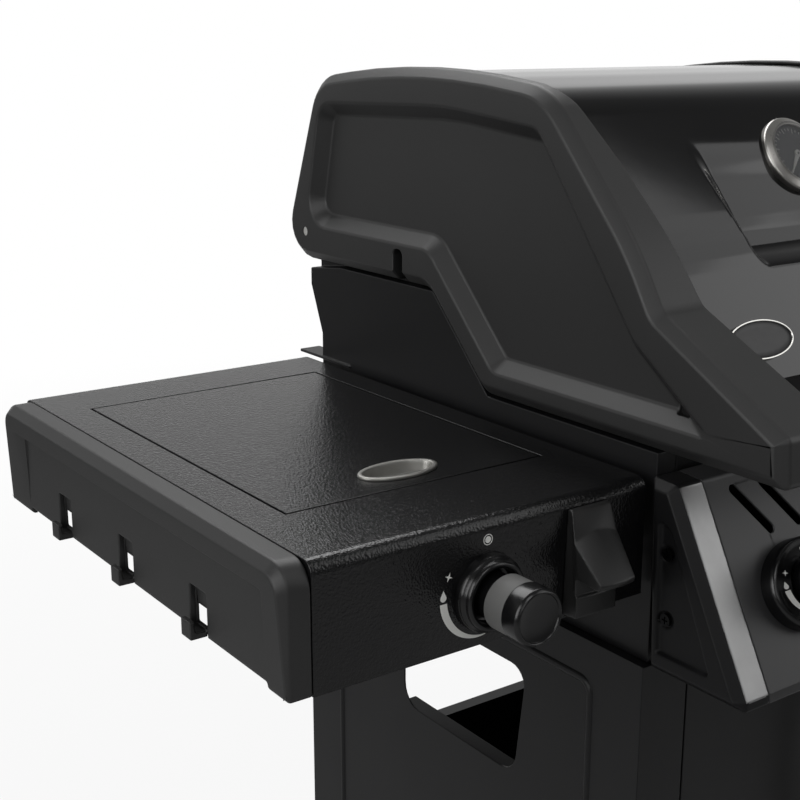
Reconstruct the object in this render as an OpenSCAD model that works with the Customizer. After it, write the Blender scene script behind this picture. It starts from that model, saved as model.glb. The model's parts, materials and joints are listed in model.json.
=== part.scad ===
// Gas barbecue grill on a cart, with a side burner under a flush cover in its left shelf.
// Every sub-part is drawn in the shelf frame: x from the middle of the grill, y from the shelves'
// front faces towards the back, z from the shelf tops. place() stands the grill on the floor.

/* [Shelves] */
// Height of the shelf tops above the floor
shelf_h = 890; // [840:1:940]
// Width of a side shelf, without its end cap
shelf_w = 297; // [285:1:340]
// Depth of the side shelves, front to back
shelf_d = 495; // [485:1:515]
// Height of the shelves' front faces
shelf_front_h = 94; // [90:1:100]
// Height of the shelves' rear and side flanges
shelf_rear_h = 60; // [50:1:66]
// Thickness of the pressed sheet
sheet = 2; // [1.5:0.1:2.5]
// Radius of the shelves' top edges
shelf_r = 10; // [6:1:14]
// Sideways thickness of a shelf end cap
end_t = 24; // [21:1:30]
// Chamfer round the castings' outer edges
chamfer = 7; // [4:0.5:8]
// Spacing of the tool hooks on an end cap
hook_pitch = 121; // [90:1:150]
// Width of a tool hook
hook_w = 15; // [12:1:20]

/* [Hood] */
// Width of the hood over its end castings
hood_w = 490; // [470:2:580]
// Height of the hood's crest above the shelf tops
hood_h = 294; // [288:1:320]
// Height of the handle arms' lower edges above the shelf tops
hood_gap = 20; // [17:1:26]
// How far the handle arms reach in front of the shelves
arm_reach = 124; // [116:1:134]
// Width of a handle arm at its tip
arm_w = 60; // [56:1:66]
// Depth of the pressed pocket in a hood end casting
pocket_depth = 13; // [8:1:14]
// Radius of the hood's hinge pins
pin_r = 4.5; // [3.5:0.1:6]
// Height of the handle bar
bar_h = 24; // [20:1:28]
// Radius of the thermometer's ring
gauge_r = 36; // [32:1:40]

/* [Control panel] */
// How far the panel's foot lies in front of the shelves
panel_reach = 103; // [95:1:108]
// Depth of the panel's foot below the shelf tops
panel_drop = 154; // [150:1:155]
// Distance down the panel's slope from its top edge to the knobs
knob_down = 97; // [90:1:105]
// Radius of a knob's front cap
knob_r = 21; // [19:0.5:22]
// Radius of the fixed bezel round the side knob
bezel_r = 29; // [27:0.5:31]
// Radius of the wider bezels on the control panel
panel_bezel_r = 36; // [32:0.5:40]
// How far a knob's face stands out from its panel
knob_out = 57; // [52:1:60]
// How far a knob pushes in
push = 3; // [2:0.5:4]

/* [Firebox] */
// Spacing of the main burners and of their knobs
burner_pitch = 146; // [136:1:150]
// Outer radius of a burner tube
burner_r = 13; // [11:0.5:14]
// Thickness of the cast cooking grates
grate_t = 14; // [10:1:18]
// Thickness of the firebox's cast sides
wall_t = 22; // [20:1:24]

/* [Side burner] */
// Width of the flush cover
cover_w = 232; // [210:1:240]
// Depth of the flush cover, front to back
cover_d = 335; // [300:1:345]
// Height of the flush cover's folded edges
cover_t = 12; // [10:0.5:14]
// Height of the side knob's axis below the shelf top
side_knob_drop = 55; // [50:1:57]

/* [Cart] */
// Width of the frames' front and rear flanges
flange_w = 51; // [40:1:60]
// Height of the cart floor above the ground
deck_h = 190; // [185:1:240]
// Radius of the transport wheels
wheel_r = 85; // [70:1:88]
// Width of the transport wheels
wheel_w = 40; // [30:1:44]
// Height of the feet
foot_h = 30; // [20:1:45]
// Depth of the doors
door_t = 18; // [14:1:20]
// How far the grease tray lies below the firebox pan
tray_gap = 6; // [4:1:12]

/* [Hidden] */
$fn = 48;

// Clearances: running fits on pins, between flush neighbours, and a cut's overshoot
run = 0.05;
seam = 1;
cut = 1;
black = "#1d1d1d";
enamel = "#0c0c0c";
casting = "#2b2b2b";
steel = "#9a9a96";
iron = "#232323";

// Shelf frame's main planes
hood_x = hood_w / 2;
shelf_in = hood_x + 3;
shelf_out = shelf_in + shelf_w;
floor_z = -shelf_h;
wall_out = hood_x - 8;
wall_in = wall_out - wall_t;
pivot = [shelf_d - 4, 129];

// Hood outline, side view, as corners [y, z, radius] that run counter-clockwise
knee = [2, 125];
bend = [29, 169];
brow_z = hood_h - 12.2;
low_tilt = atan2(bend.x - knee.x, bend.y - knee.y);
high_tilt = 42.2;
function on_slope(z) = bend.x + (z - bend.y) * tan(z > bend.y ? high_tilt : low_tilt);
nape = [shelf_d - 23.6, hood_h - 12.2];
step_z = pivot.y - 28;
back = atan2(nape.y - step_z, nape.x - shelf_d - 47.6);
function on_back(z) = nape.x + (z - nape.y) / tan(back);
// The crest lies between brow and nape; its arc takes most of the way from one to the other
crest_share = 0.4667;
crest_arc = 0.805;
brow = [on_slope(brow_z), brow_z];
crest = [brow.x + crest_share * (nape.x - brow.x), hood_h + 8];
crest_turn = atan2(crest.y - brow.y, crest.x - brow.x) + atan2(crest.y - nape.y, nape.x - crest.x);
crest_r = crest_arc * norm(crest - brow) / tan(crest_turn / 2);
crown = [[nape.x, nape.y, 45], [crest.x, crest.y, crest_r], [brow.x, brow.y, 68],
    [bend.x, bend.y, 280]];
hood_corners = [[-arm_reach, hood_gap, 6], [206, hood_gap, 24],
    [206 + step_z - hood_gap, step_z, 24], [on_back(step_z), step_z, 36], each crown,
    [knee.x, knee.y, 20], [3 - arm_reach, hood_gap + 37, 7]];
rim_in = chamfer + 2;
// The hood without its arms, left open below: what the skin and the cooking space follow
deep_z = -100;
dome_corners = [[on_slope(deep_z), deep_z, 0.5], [on_back(deep_z), deep_z, 0.5], each crown];
cap_wall = 4;
function on_skin(z) = on_slope(z) + cap_wall / cos(z > bend.y ? high_tilt : low_tilt);
skin_front_z = hood_gap + 46;
skin_back_z = pivot.y + 12;
web_t = pocket_depth + 3.5;
// Farther than any solid, for cuts that go all the way
far = 2 * shelf_d;

// Pressed field of the hood's front, flush above and sunk below; the thermometer stands on it
field_top = [on_skin(hood_h - 49), hood_h - 49];
field_depth = 15;
field_low_z = hood_h - 136;
slope_in = [cos(low_tilt), -sin(low_tilt)];
field_low = [on_skin(field_low_z), field_low_z] + field_depth * slope_in;
field_foot_z = hood_h - 150;
field_half_top = 122;
field_half_low = 110;
field_half_foot = 90;
field_tilt = atan2(field_top.x - field_low.x, field_top.y - field_low.y);
gauge_share = 0.27;
gauge_at = field_top + gauge_share * (field_low - field_top);
gauge_hole = 8;

// Control panel outline, side view
panel_top = [-25, -1.5];
panel_foot = [1 - panel_reach, 7 - panel_drop];
panel_tilt = atan2(panel_top.x - panel_foot.x, panel_top.y - panel_foot.y);
panel_corners = [[-panel_reach, -panel_drop - 1, 2], [-7, -panel_drop - 1, 2], [0, 0, 2],
    [panel_top.x, panel_top.y, 6], [panel_foot.x, panel_foot.y, 2]];
control_out = hood_x + 2;
control_in = wall_in;
knob_at = [panel_top.x - knob_down * sin(panel_tilt), panel_top.y - knob_down * cos(panel_tilt)];
knob_xs = [-burner_pitch, 0, burner_pitch];
side_knob = [-shelf_out + 144, 0, -side_knob_drop];

// Knob parts, measured outwards from the panel's face
bezel_t = 14;
bezel_bore = 20.5;
skirt_r = 19;
stem_r = 4;
knob_back = push + 2;
valve_r = 12;
valve_near = 6;
valve_far = 34;
nozzle_at = 22;
nozzle_r = 5;

// Firebox
pan_front = 4;
pan_back = shelf_d - 17;
rim_z = 22;
grate_z = rim_z - grate_t;
burner_z = knob_at.y - nozzle_at * sin(panel_tilt);
pan_low = -150;
pan_side_low = burner_z - burner_r - 3;
drain_y = [pan_front + 211, pan_front + 261];
ledge = 14;
frame_top = -panel_drop - 2;
tray_z = pan_low - tray_gap - 30;

// Side burner
gap = 2;
cover_x = -shelf_out + 35;
cover_y = 89;
cover_mid = [cover_x + cover_w / 2, cover_y + cover_d / 2];
cover_pivot = [cover_y + cover_d - 4, -4];
cover_pin_r = 1.9;
bowl_depth = 60;
head_r = 40;
pull_at = [-shelf_out + 153, 121];
pipe_z = -80;
pipe_r = 3.5;
neck_y = 40;

// Cart
frame_out = hood_x + 1;
frame_front = -4;
frame_back = shelf_d - 4;
deck_z = floor_z + deck_h;
skirt_h = 14;
door_half = frame_out - flange_w;
door_top = frame_top - 7;
door_foot = deck_z + 4;
door_pivot = [door_half - 4.5, frame_front + 3];
door_pin_r = 3;
// How far the lugs of the door pins reach towards the frames, short of their flanges
lug_end = 4;
axle_r = 6;
axle_x = frame_out - wheel_r + 2;
axle_z = floor_z + wheel_r;
wheel_ys = [8, shelf_d - 13 - wheel_w];

// ---------------------------------------------------------------- outlines and placing

function unit(v) = v / norm(v);
function flat(c) = [c.x, c.y];
// Points of one rounded corner b, between its neighbours a and c
function round_corner(a, b, c, steps) =
    let (u = unit(flat(a) - flat(b)), w = unit(flat(c) - flat(b)),
        half = acos(u * w) / 2,
        middle = flat(b) + unit(u + w) * b.z / sin(half),
        from = flat(b) + u * b.z / tan(half) - middle,
        to = flat(b) + w * b.z / tan(half) - middle,
        start = atan2(from.y, from.x),
        turn = (atan2(to.y, to.x) - start + 540) % 360 - 180)
    [for (i = [0:steps]) middle + b.z * [cos(start + turn * i / steps), sin(start + turn * i / steps)]];
// Outline of corners [y, z, radius], with round corners as short chords
function outline(corners, steps = 6) = let (n = len(corners))
    [for (i = [0:n - 1]) each round_corner(corners[(i + n - 1) % n], corners[i], corners[(i + 1) % n], steps)];
function left_of(v) = [-v.y, v.x];
// The same corners moved inwards by d, with the radii that keep the arcs concentric
function inset(corners, d) = let (n = len(corners))
    [for (i = [0:n - 1])
        let (before = unit(flat(corners[i]) - flat(corners[(i + n - 1) % n])),
            after = unit(flat(corners[(i + 1) % n]) - flat(corners[i])),
            m = left_of(before) + left_of(after),
            moved = flat(corners[i]) + m * d / (1 + left_of(before) * left_of(after)),
            bends_in = before.x * after.y - before.y * after.x > 0)
        [moved.x, moved.y, max(0.3, corners[i].z + (bends_in ? -d : d))]];
function ring(x, corners) = [for (p = outline(corners)) [x, p.x, p.y]];
// Closed solid through rings that hold the same number of points, from low x to high x
module loft(rings) {
    n = len(rings[0]);
    m = len(rings) - 1;
    polyhedron(points = [for (r = rings) each r],
        faces = [[for (i = [0:n - 1]) i], [for (i = [n - 1:-1:0]) m * n + i],
            for (k = [0:m - 1], i = [0:n - 1])
                [k * n + i, (k + 1) * n + i, (k + 1) * n + (i + 1) % n, k * n + (i + 1) % n]]);
}
// Prism of a side-view outline from x0 to x1
module along_x(x0, x1, points) translate([x0, 0, 0]) rotate([90, 0, 90]) linear_extrude(x1 - x0) polygon(points);
// Prism of a front-view outline from y0 to y1
module along_y(y0, y1, points) translate([0, y1, 0]) rotate([90, 0, 0]) linear_extrude(y1 - y0) polygon(points);
module block(low, high) translate(low) cube(high - low);
module rod_x(x0, x1, y, z, r) translate([x0, y, z]) rotate([0, 90, 0]) cylinder(h = x1 - x0, r = r);
module rod_y(y0, y1, x, z, r) translate([x, y0, z]) rotate([-90, 0, 0]) cylinder(h = y1 - y0, r = r);
module rod_z(z0, z1, x, y, r) translate([x, y, z0]) cylinder(h = z1 - z0, r = r);
module to_left() mirror([1, 0, 0]) children();
// z outwards from the control panel's slope, at a knob
module on_panel(x) translate([x, knob_at.x, knob_at.y]) rotate([90 - panel_tilt, 0, 0]) children();
// z outwards from the left shelf's front face, at its knob
module on_shelf_front() translate(side_knob) rotate([90, 0, 0]) children();
// z outwards from the floor of the hood's pressed field
module on_gauge() translate([0, gauge_at.x, gauge_at.y]) rotate([90 - field_tilt, 0, 0]) children();
module ellipse(a, b, h) linear_extrude(h) polygon([for (t = [0:10:350]) [a * cos(t), b * sin(t)]]);

// The grill's own front and back, which its origin lies between
knob_front = knob_at.x - knob_out * cos(panel_tilt) - (knob_r - 1.5) * sin(panel_tilt);
front_y = min(knob_front, min([for (p = outline(hood_corners)) p.x]));
back_y = max([for (p = outline(hood_corners)) p.x]);
module place() translate([0, -(front_y + back_y) / 2, shelf_h]) children();

// ---------------------------------------------------------------- hood

// The pressed field's hollow, grown by the sheet for its inner side
module field(grow) {
    top = field_top - grow * [0, 2];
    low = field_low + grow * slope_in;
    foot = [on_skin(field_foot_z), field_foot_z] + grow * slope_in;
    intersection() {
        along_x(-hood_x, hood_x, [top - hood_h / 4 * slope_in, foot - hood_h / 4 * slope_in - [0, 6], foot, low, top]);
        along_y(-far, far, [[-field_half_foot - grow, field_foot_z - 30], [field_half_foot + grow, field_foot_z - 30],
            [field_half_foot + grow, field_foot_z], [field_half_low + grow, field_low.y],
            [field_half_top + grow, field_top.y], [-field_half_top - grow, field_top.y],
            [-field_half_low - grow, field_low.y], [-field_half_foot - grow, field_foot_z]]);
    }
}
module hood_skin() color(enamel) difference() {
    skin_half = hood_x - web_t;
    along_x(-skin_half, skin_half, outline(inset(dome_corners, cap_wall)));
    difference() {
        along_x(-hood_x, hood_x, outline(inset(dome_corners, cap_wall + sheet)));
        field(sheet);
    }
    field(0);
    block([-hood_x, -far, deep_z - 20], [hood_x, shelf_d / 2 + 2, skin_front_z]);
    block([-hood_x, shelf_d / 2 - 2, deep_z - 20], [hood_x, far, skin_back_z]);
    on_gauge() translate([0, 0, -30]) cylinder(h = 60, r = gauge_hole + run);
}

pocket_corners = [[-58, hood_gap + 22, 3], [190, hood_gap + 22, 20], [190 + step_z + 35 - hood_gap - 22, step_z + 35, 24],
    [shelf_d - 5, step_z + 35, 27], [shelf_d - 33, hood_h - 36, 24], [262, hood_h - 31, 600],
    [139, hood_h - 43, 16], [24, knee.y - 24, 24]];
pocket_bevel = 12;
module hood_end() color(casting) difference() {
    loft([ring(hood_x - arm_w - 3, hood_corners), ring(hood_x - chamfer - 1, hood_corners),
        ring(hood_x, inset(hood_corners, rim_in)), ring(hood_x + 3, inset(hood_corners, rim_in))]);
    block([hood_x - arm_w - 9, -300, -50], [hood_x - arm_w, 700, 400]);
    block([hood_x, -300, -50], [hood_x + 9, 700, 400]);
    // Front view: the band over the skin widens downwards to the arm
    along_y(-200, 700, [[hood_x - arm_w - cut, hood_gap + 42], [hood_x - 52, knee.y - 4],
        [hood_x - 46, hood_h - 136], [hood_x - 38, hood_h - 71],
        [hood_x - 26, hood_h - 24], [hood_x - 20, hood_h - 12], [hood_x - 20, hood_h + 20],
        [hood_x - arm_w - cut, hood_h + 20]]);
    along_x(hood_x - arm_w - cut, hood_x - web_t, outline(inset(dome_corners, cap_wall)));
    difference() {
        loft([ring(hood_x - pocket_depth - 3, inset(pocket_corners, pocket_bevel)),
            ring(hood_x - pocket_depth, inset(pocket_corners, pocket_bevel)),
            ring(hood_x + cut, inset(pocket_corners, -pocket_bevel * cut / pocket_depth))]);
        block([hood_x - pocket_depth - 9, -300, -50], [hood_x - pocket_depth, 700, 400]);
    }
    // The pocket runs deeper into the arm
    along_x(hood_x - 40, hood_x - pocket_depth + 3,
        [[-38.5, hood_gap + 30], [-15, hood_gap + 30], [-15, knee.y - 58]]);
    // Notch over the spit's bracket
    along_x(hood_x - web_t - cut, hood_x + cut, outline([[shelf_d - 172, step_z - 10, 0.5],
        [shelf_d - 158, step_z - 10, 0.5], [shelf_d - 158, step_z + 30, 6.9],
        [shelf_d - 172, step_z + 30, 6.9]]));
    rod_x(hood_x - web_t - cut, hood_x + cut, pivot.x, pivot.y, pin_r + run);
}
bar_depth = 30;
bar_y = 4 - arm_reach;
module hood_handle() color(casting) along_x(arm_w - hood_x, hood_x - arm_w,
    outline([[bar_y, hood_gap + 5, 10], [bar_y + bar_depth, hood_gap + 5, 10],
        [bar_y + bar_depth, hood_gap + 5 + bar_h, 10], [bar_y, hood_gap + 5 + bar_h, 10]]));
plate_at = [-hood_x + 98, hood_gap + 74];
module name_plate() color("#3a3a3a")
    translate([plate_at.x, on_skin(plate_at.y), plate_at.y]) rotate([90 - low_tilt, 0, 0]) ellipse(36, 16, 5);

ring_h = 11;
module gauge_housing() color(steel) on_gauge() difference() {
    union() {
        cylinder(h = ring_h, r = gauge_r);
        translate([0, 0, -sheet - 0.5]) cylinder(h = sheet + 0.5 + cut, r = gauge_hole);
        translate([0, 0, -sheet - 5.5]) cylinder(h = 5, r = 13);
        translate([0, 0, -62]) cylinder(h = 60, r = 3.5);
    }
    translate([0, 0, 5]) cylinder(h = ring_h, r = gauge_r - 6);
}
module gauge_dial() color("#77797a") on_gauge() {
    translate([0, 0, 5]) cylinder(h = 1, r = gauge_r - 6.3);
    translate([0, 0, 5.5]) cylinder(h = 2.5, r = 1);
}
module gauge_needle() color("#e8e8e8") on_gauge() translate([0, 0, 6.5]) difference() {
    union() {
        cylinder(h = 1.2, r = 3.5);
        linear_extrude(0.8) polygon([[-gauge_r + 17, -gauge_r + 16], [2, -1.4], [-1.4, 2]]);
    }
    translate([0, 0, -cut]) cylinder(h = 4, r = 1 + run);
}
module gauge_glass() color("#c8d0d0") on_gauge() translate([0, 0, ring_h - 2.4]) cylinder(h = 1.6, r = gauge_r - 6.1);

// ---------------------------------------------------------------- firebox

lid_gap = 3;
shoulder_z = step_z - lid_gap;
module firebox_side() color(casting) difference() {
    union() {
        // Outer slab, below the hood's edge
        along_x(wall_out - 10, wall_out, [[0, frame_top], [shelf_d - 15, frame_top], [shelf_d - 15, -12],
            [shelf_d - 21, -6], [shelf_d - 21, 26], [shelf_d - 1, shoulder_z - 24], [shelf_d - 1, shoulder_z - 7],
            [shelf_d - 55, shoulder_z], [205 + shoulder_z - hood_gap + lid_gap, shoulder_z],
            [205, hood_gap - lid_gap], [0, hood_gap - lid_gap]]);
        // Inner slab, which stands up inside the hood
        along_x(wall_in, wall_out - 9.5, [[0, frame_top], [shelf_d - 15, frame_top], [shelf_d - 15, -6],
            [pivot.x, pivot.y - 18], [pivot.x, pivot.y + 12], [264, pivot.y + 4], [186, hood_gap + 34],
            [10, hood_gap + 34], [0, hood_gap + 24]]);
        rod_x(wall_in, wall_out - 9.5, pivot.x, pivot.y, 18);
        // Ledge that carries the shelf's rear corner
        block([wall_in, shelf_d - 74, -1], [wall_out + 2, shelf_d + 20, 2]);
    }
    rod_x(wall_in - cut, wall_out - 9, pivot.x, pivot.y, pin_r);
    // Passage of the side burner's pipe
    rod_y(-cut, neck_y, wall_out - 11, pipe_z, pipe_r + 1);
    rod_x(wall_out - 11, wall_out + cut, neck_y, pipe_z, pipe_r + 1);
    translate([wall_out - 11, neck_y, pipe_z]) sphere(r = pipe_r + 1);
}
hook_r = 8;
module firebox_pan() color(black) difference() {
    profile = [[pan_front, pan_side_low - 1], [drain_y[0] - sheet, pan_low], [drain_y[1] + sheet, pan_low], [pan_back, pan_side_low - 1],
        [pan_back, hood_gap + 70], [pan_back - ledge, hood_gap + 70], [pan_back - ledge, hood_gap + 68],
        [pan_back - sheet, hood_gap + 68], [pan_back - sheet, grate_z], [pan_back - ledge, grate_z],
        [pan_back - ledge, grate_z - sheet], [pan_back - sheet, grate_z - sheet], [pan_back - sheet, -48],
        [pan_back - ledge, -48], [pan_back - ledge, -48 - sheet], [pan_back - sheet, -48 - sheet],
        [pan_back - sheet, pan_side_low], [drain_y[1], pan_low + sheet], [drain_y[0], pan_low + sheet],
        [pan_front + sheet, pan_side_low], [pan_front + sheet, -48 - sheet], [pan_front + ledge, -48 - sheet],
        [pan_front + ledge, -48], [pan_front + sheet, -48], [pan_front + sheet, grate_z - sheet],
        [pan_front + ledge, grate_z - sheet], [pan_front + ledge, grate_z], [pan_front + sheet, grate_z],
        [pan_front + sheet, hood_gap + 42], [pan_front, hood_gap + 42]];
    along_x(-wall_in, wall_in, profile);
    block([-120, drain_y[0] + 5, pan_low - cut], [120, drain_y[1] - 5, pan_low + 10]);
    for (x = knob_xs) rod_y(pan_front - cut, pan_front + 20, x, burner_z, burner_r + 0.3);
}
module burner(x) color(steel) difference() {
    union() {
        rod_y(-14, pan_back - 30, x, burner_z, burner_r);
        // Flat tail that lies on the pan's rear ledge line
        block([x - 8, pan_back - 32, burner_z - 1], [x + 8, pan_back - sheet, burner_z + 1]);
    }
    rod_y(-14 - cut, pan_back - 34, x, burner_z, burner_r - 1.5);
    // Gas ports along both sides
    for (y = [40:24:pan_back - 60], s = [-1, 1])
        translate([x, y, burner_z]) rotate([0, 70 * s, 0]) cylinder(h = burner_r + 2, r = 1.6);
}
plate_half = 54;
module heat_plates() color(iron) for (x = knob_xs) translate([x, 0, 0])
    along_y(pan_front + sheet + cut, pan_back - sheet - cut,
        [[-plate_half, -48], [-plate_half + sheet, -48], [0, -20 - sheet], [plate_half - sheet, -48],
            [plate_half, -48], [0, -20]]);
bar_pitch = 20;
bar_t = 8;
module cooking_grates() color(iron) for (s = [0, 1]) mirror([s, 0, 0]) {
    low = 1.5;
    high = wall_in - 1.5;
    bars = floor((high - low - bar_t) / bar_pitch);
    step = (high - low - bar_t) / bars;
    for (i = [0:bars])
        block([low + i * step, pan_front + sheet + 1.5, grate_z], [low + i * step + bar_t, pan_back - sheet - 1.5, rim_z]);
    for (y = [pan_front + 12, (pan_front + pan_back) / 2, pan_back - 20])
        block([low, y, grate_z + 2], [high, y + 9, rim_z - 3]);
}
rack_z = 118;
module warming_rack() color(steel) {
    for (y = [shelf_d - 187, shelf_d - 55]) rod_x(-wall_in, wall_in, y, rack_z, 3);
    for (i = [-9:9])
        rod_y(shelf_d - 189, shelf_d - 53, i * (wall_in - 12) / 9, rack_z + 4.5, 2);
    for (s = [-1, 1]) block([s * (wall_in - 30) - 2, shelf_d - 187, rack_z - 2], [s * (wall_in - 30) + 2, shelf_d - 55, rack_z + 4]);
}
tray_half = 186;
module grease_tray() color(steel) difference() {
    union() {
        block([-tray_half, 60, tray_z], [tray_half, shelf_d - 6, tray_z + 24]);
        // Finger lip at the back
        block([-60, shelf_d - 8, tray_z + 20], [60, shelf_d + 10, tray_z + 20 + sheet]);
    }
    block([-tray_half + sheet, 60 + sheet, tray_z + sheet], [tray_half - sheet, shelf_d - 6 - sheet, tray_z + 60]);
    rod_z(tray_z - cut, tray_z + 5, 0, 240, 22);
}
module grease_cup() color(steel) difference() {
    union() {
        rod_z(tray_z - 40, tray_z + sheet, 0, 240, 21.5);
        rod_z(tray_z + sheet, tray_z + 2 * sheet, 0, 240, 28);
    }
    rod_z(tray_z - 40 + sheet, tray_z + 20, 0, 240, 20);
}

// ---------------------------------------------------------------- gas train

manifold_r = 9;
valve_out = [knob_at.x + nozzle_at * cos(panel_tilt), burner_z];
manifold_at = [valve_out.x + 4, burner_z - 27];
module valve_body() {
    translate([0, 0, -valve_far]) difference() {
        union() {
            cylinder(h = valve_far - valve_near, r = valve_r);
            cylinder(h = valve_far - 2, r = 7);
        }
        translate([0, 0, valve_far - 22]) cylinder(h = 60, r = stem_r + run);
    }
}
module gas_valves() color("#b8a15a") {
    for (x = knob_xs) difference() {
        union() {
            on_panel(x) valve_body();
            rod_y(valve_out.x, -16, x, burner_z, nozzle_r);
            rod_z(manifold_at.y + manifold_r, burner_z, x, manifold_at.x, 7);
        }
        on_panel(x) translate([0, 0, -22]) cylinder(h = 60, r = stem_r + run);
        rod_y(valve_out.x + 8, -16 + cut, x, burner_z, 1.5);
    }
    difference() {
        union() {
            on_shelf_front() translate([0, 0, -sheet]) valve_body();
            rod_z(pipe_z, side_knob.z, side_knob.x, neck_y, 7.5);
            rod_y(30, neck_y + 14, side_knob.x, pipe_z + 2, nozzle_r);
            block([side_knob.x - 16, sheet, side_knob.z - 16], [side_knob.x + 16, sheet + 3, side_knob.z + 16]);
        }
        rod_y(0, 22, side_knob.x, side_knob.z, stem_r + run);
        rod_y(neck_y + 9, neck_y + 14 + cut, side_knob.x, pipe_z + 2, 1.5);
    }
}
module gas_manifold() color(steel) {
    rod_x(-wall_in + 14, wall_in - 6, manifold_at.x, manifold_at.y, manifold_r - 0.5);
    for (x = knob_xs) rod_z(manifold_at.y, manifold_at.y + manifold_r, x, manifold_at.x, 8.5);
    // Inlet fitting that a supply hose screws onto
    rod_x(wall_in - 6, wall_in + 8, manifold_at.x, manifold_at.y, 7);
    // Feet on the panel's bottom flange
    for (x = [-burner_pitch / 2, burner_pitch / 2])
        block([x - 6, manifold_at.x - 6, -panel_drop - 1 + sheet], [x + 6, manifold_at.x + 6, manifold_at.y]);
}
module side_gas_pipe() color(steel) {
    x0 = -wall_in + 14;
    x1 = -wall_out + 11;
    low = manifold_at.y;
    rod_x(x1, x0, manifold_at.x, low, pipe_r);
    rod_z(low, pipe_z, x1, manifold_at.x, pipe_r);
    rod_y(manifold_at.x, neck_y, x1, pipe_z, pipe_r);
    rod_x(side_knob.x + 7.4, x1, neck_y, pipe_z, pipe_r);
    for (p = [[x1, manifold_at.x, low], [x1, manifold_at.x, pipe_z], [x1, neck_y, pipe_z]]) translate(p) sphere(r = pipe_r);
}

// ---------------------------------------------------------------- control panel

module slot(length, r, h) {
    for (s = [-1, 1]) translate([0, s * (length / 2 - r), 0]) cylinder(h = h, r = r);
    translate([-r, -length / 2 + r, 0]) cube([2 * r, length - 2 * r, h]);
}
vent_xs = [-burner_pitch + 6, -burner_pitch - 27];
module control_panel() color("#333333") {
    half = control_in - 0.3;
    difference() {
        along_x(-half, half, outline(panel_corners));
        along_x(-half - cut, half + cut, outline(inset(panel_corners, sheet)));
        // The sheet stays open at the back
        block([-half - cut, -12, -panel_drop + 6], [half + cut, 10, -8]);
        for (x = knob_xs) on_panel(x) translate([0, 0, -20]) cylinder(h = 40, r = 14);
        // Slanted air vents near both ends
        for (s = [-1, 1], x = vent_xs) on_panel(s * x) translate([0, knob_down - 31, -20])
            rotate([0, 0, s * 36]) slot(52, 4, 40);
    }
}
screw_spots = [[-22, -56], [-23, -109]];
hollow_corners = [panel_corners[0], panel_corners[1], [-3, -16, 2], [-31, -16, 4], [-panel_reach + 1, 8 - panel_drop, 3]];
pocket_3 = [[-72, 16 - panel_drop, 3], [-16, 16 - panel_drop, 3], [-13, -30, 4], [-26, -34, 4]];
module control_end() color("#3c3c3c") difference() {
    union() {
        loft([ring(control_in, panel_corners), ring(control_out - chamfer, panel_corners),
            ring(control_out, inset(panel_corners, chamfer))]);
        // Lug that bears on the firebox
        block([control_in + 2, -12, -140], [wall_out - 2, 0, -100]);
    }
    // Passage of the side burner's pipe
    rod_y(-30, cut, wall_out - 11, pipe_z, pipe_r + 1);
    along_x(control_in - cut, control_out - chamfer - 3, outline(inset(hollow_corners, 3)));
    // Shallow pocket that holds the two screws
    loft([ring(control_out - 3.5, inset(pocket_3, 2)), ring(control_out, pocket_3), ring(control_out + cut, pocket_3)]);
    for (p = screw_spots) {
        rod_x(control_in, control_out + cut, p.x, p.y, 2.5);
        rod_x(control_out - 5, control_out + cut, p.x, p.y, 7);
    }
}
module panel_screws() color(steel) for (s = [0, 1]) mirror([s, 0, 0]) for (p = screw_spots) difference() {
    union() {
        rod_x(control_out - 16, control_out - 4, p.x, p.y, 2.5);
        rod_x(control_out - 5, control_out - 2, p.x, p.y, 5);
    }
    block([control_out - 3.2, p.x - 3, p.y - 0.6], [control_out, p.x + 3, p.y + 0.6]);
    block([control_out - 3.2, p.x - 0.6, p.y - 3], [control_out, p.x + 0.6, p.y + 3]);
}
// Fixed bezel: a round skirt with a stepped rim
module bezel(r, t) rotate_extrude() polygon([[bezel_bore, 0], [r, 0], [r, t - 6], [r - 2, t - 4],
    [r - 2, t - 2], [r - 5, t], [bezel_bore + 1, t], [bezel_bore, t - 2]]);
module knob_bezels() color(black) {
    for (x = knob_xs) on_panel(x) bezel(panel_bezel_r, bezel_t);
    on_shelf_front() bezel(bezel_r, bezel_t);
}
module stem() difference() {
    translate([0, 0, -18]) cylinder(h = 18 + knob_out - 12, r = stem_r - run);
}
module knob() difference() {
    rotate_extrude() polygon([[0, knob_back], [skirt_r - 2, knob_back], [skirt_r - 2, knob_out - 37],
        [skirt_r + 1, knob_out - 36], [skirt_r + 1, knob_out - 17], [knob_r, knob_out - 16], [knob_r, knob_out - 3],
        [knob_r - 1.5, knob_out], [knob_r - 3.5, knob_out], [knob_r - 5, knob_out - 1.5], [0, knob_out - 2.5]]);
    translate([0, 0, knob_back - cut]) cylinder(h = knob_out - 12 - knob_back + cut, r = stem_r);
}

// ---------------------------------------------------------------- side shelves

module shelf_shell() difference() {
    along_x(shelf_in, shelf_out, outline([[0, -shelf_front_h, 0.5], [shelf_d, -shelf_front_h, 0.5],
        [shelf_d, 0, shelf_r], [0, 0, shelf_r]]));
    along_x(shelf_in + sheet, shelf_out - sheet, outline([[sheet, -200, 0.5], [shelf_d - sheet, -200, 0.5],
        [shelf_d - sheet, -sheet, shelf_r - sheet], [sheet, -sheet, shelf_r - sheet]]));
    block([0, 20, -200], [2 * shelf_out, shelf_d + cut, -shelf_rear_h]);
}
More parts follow.
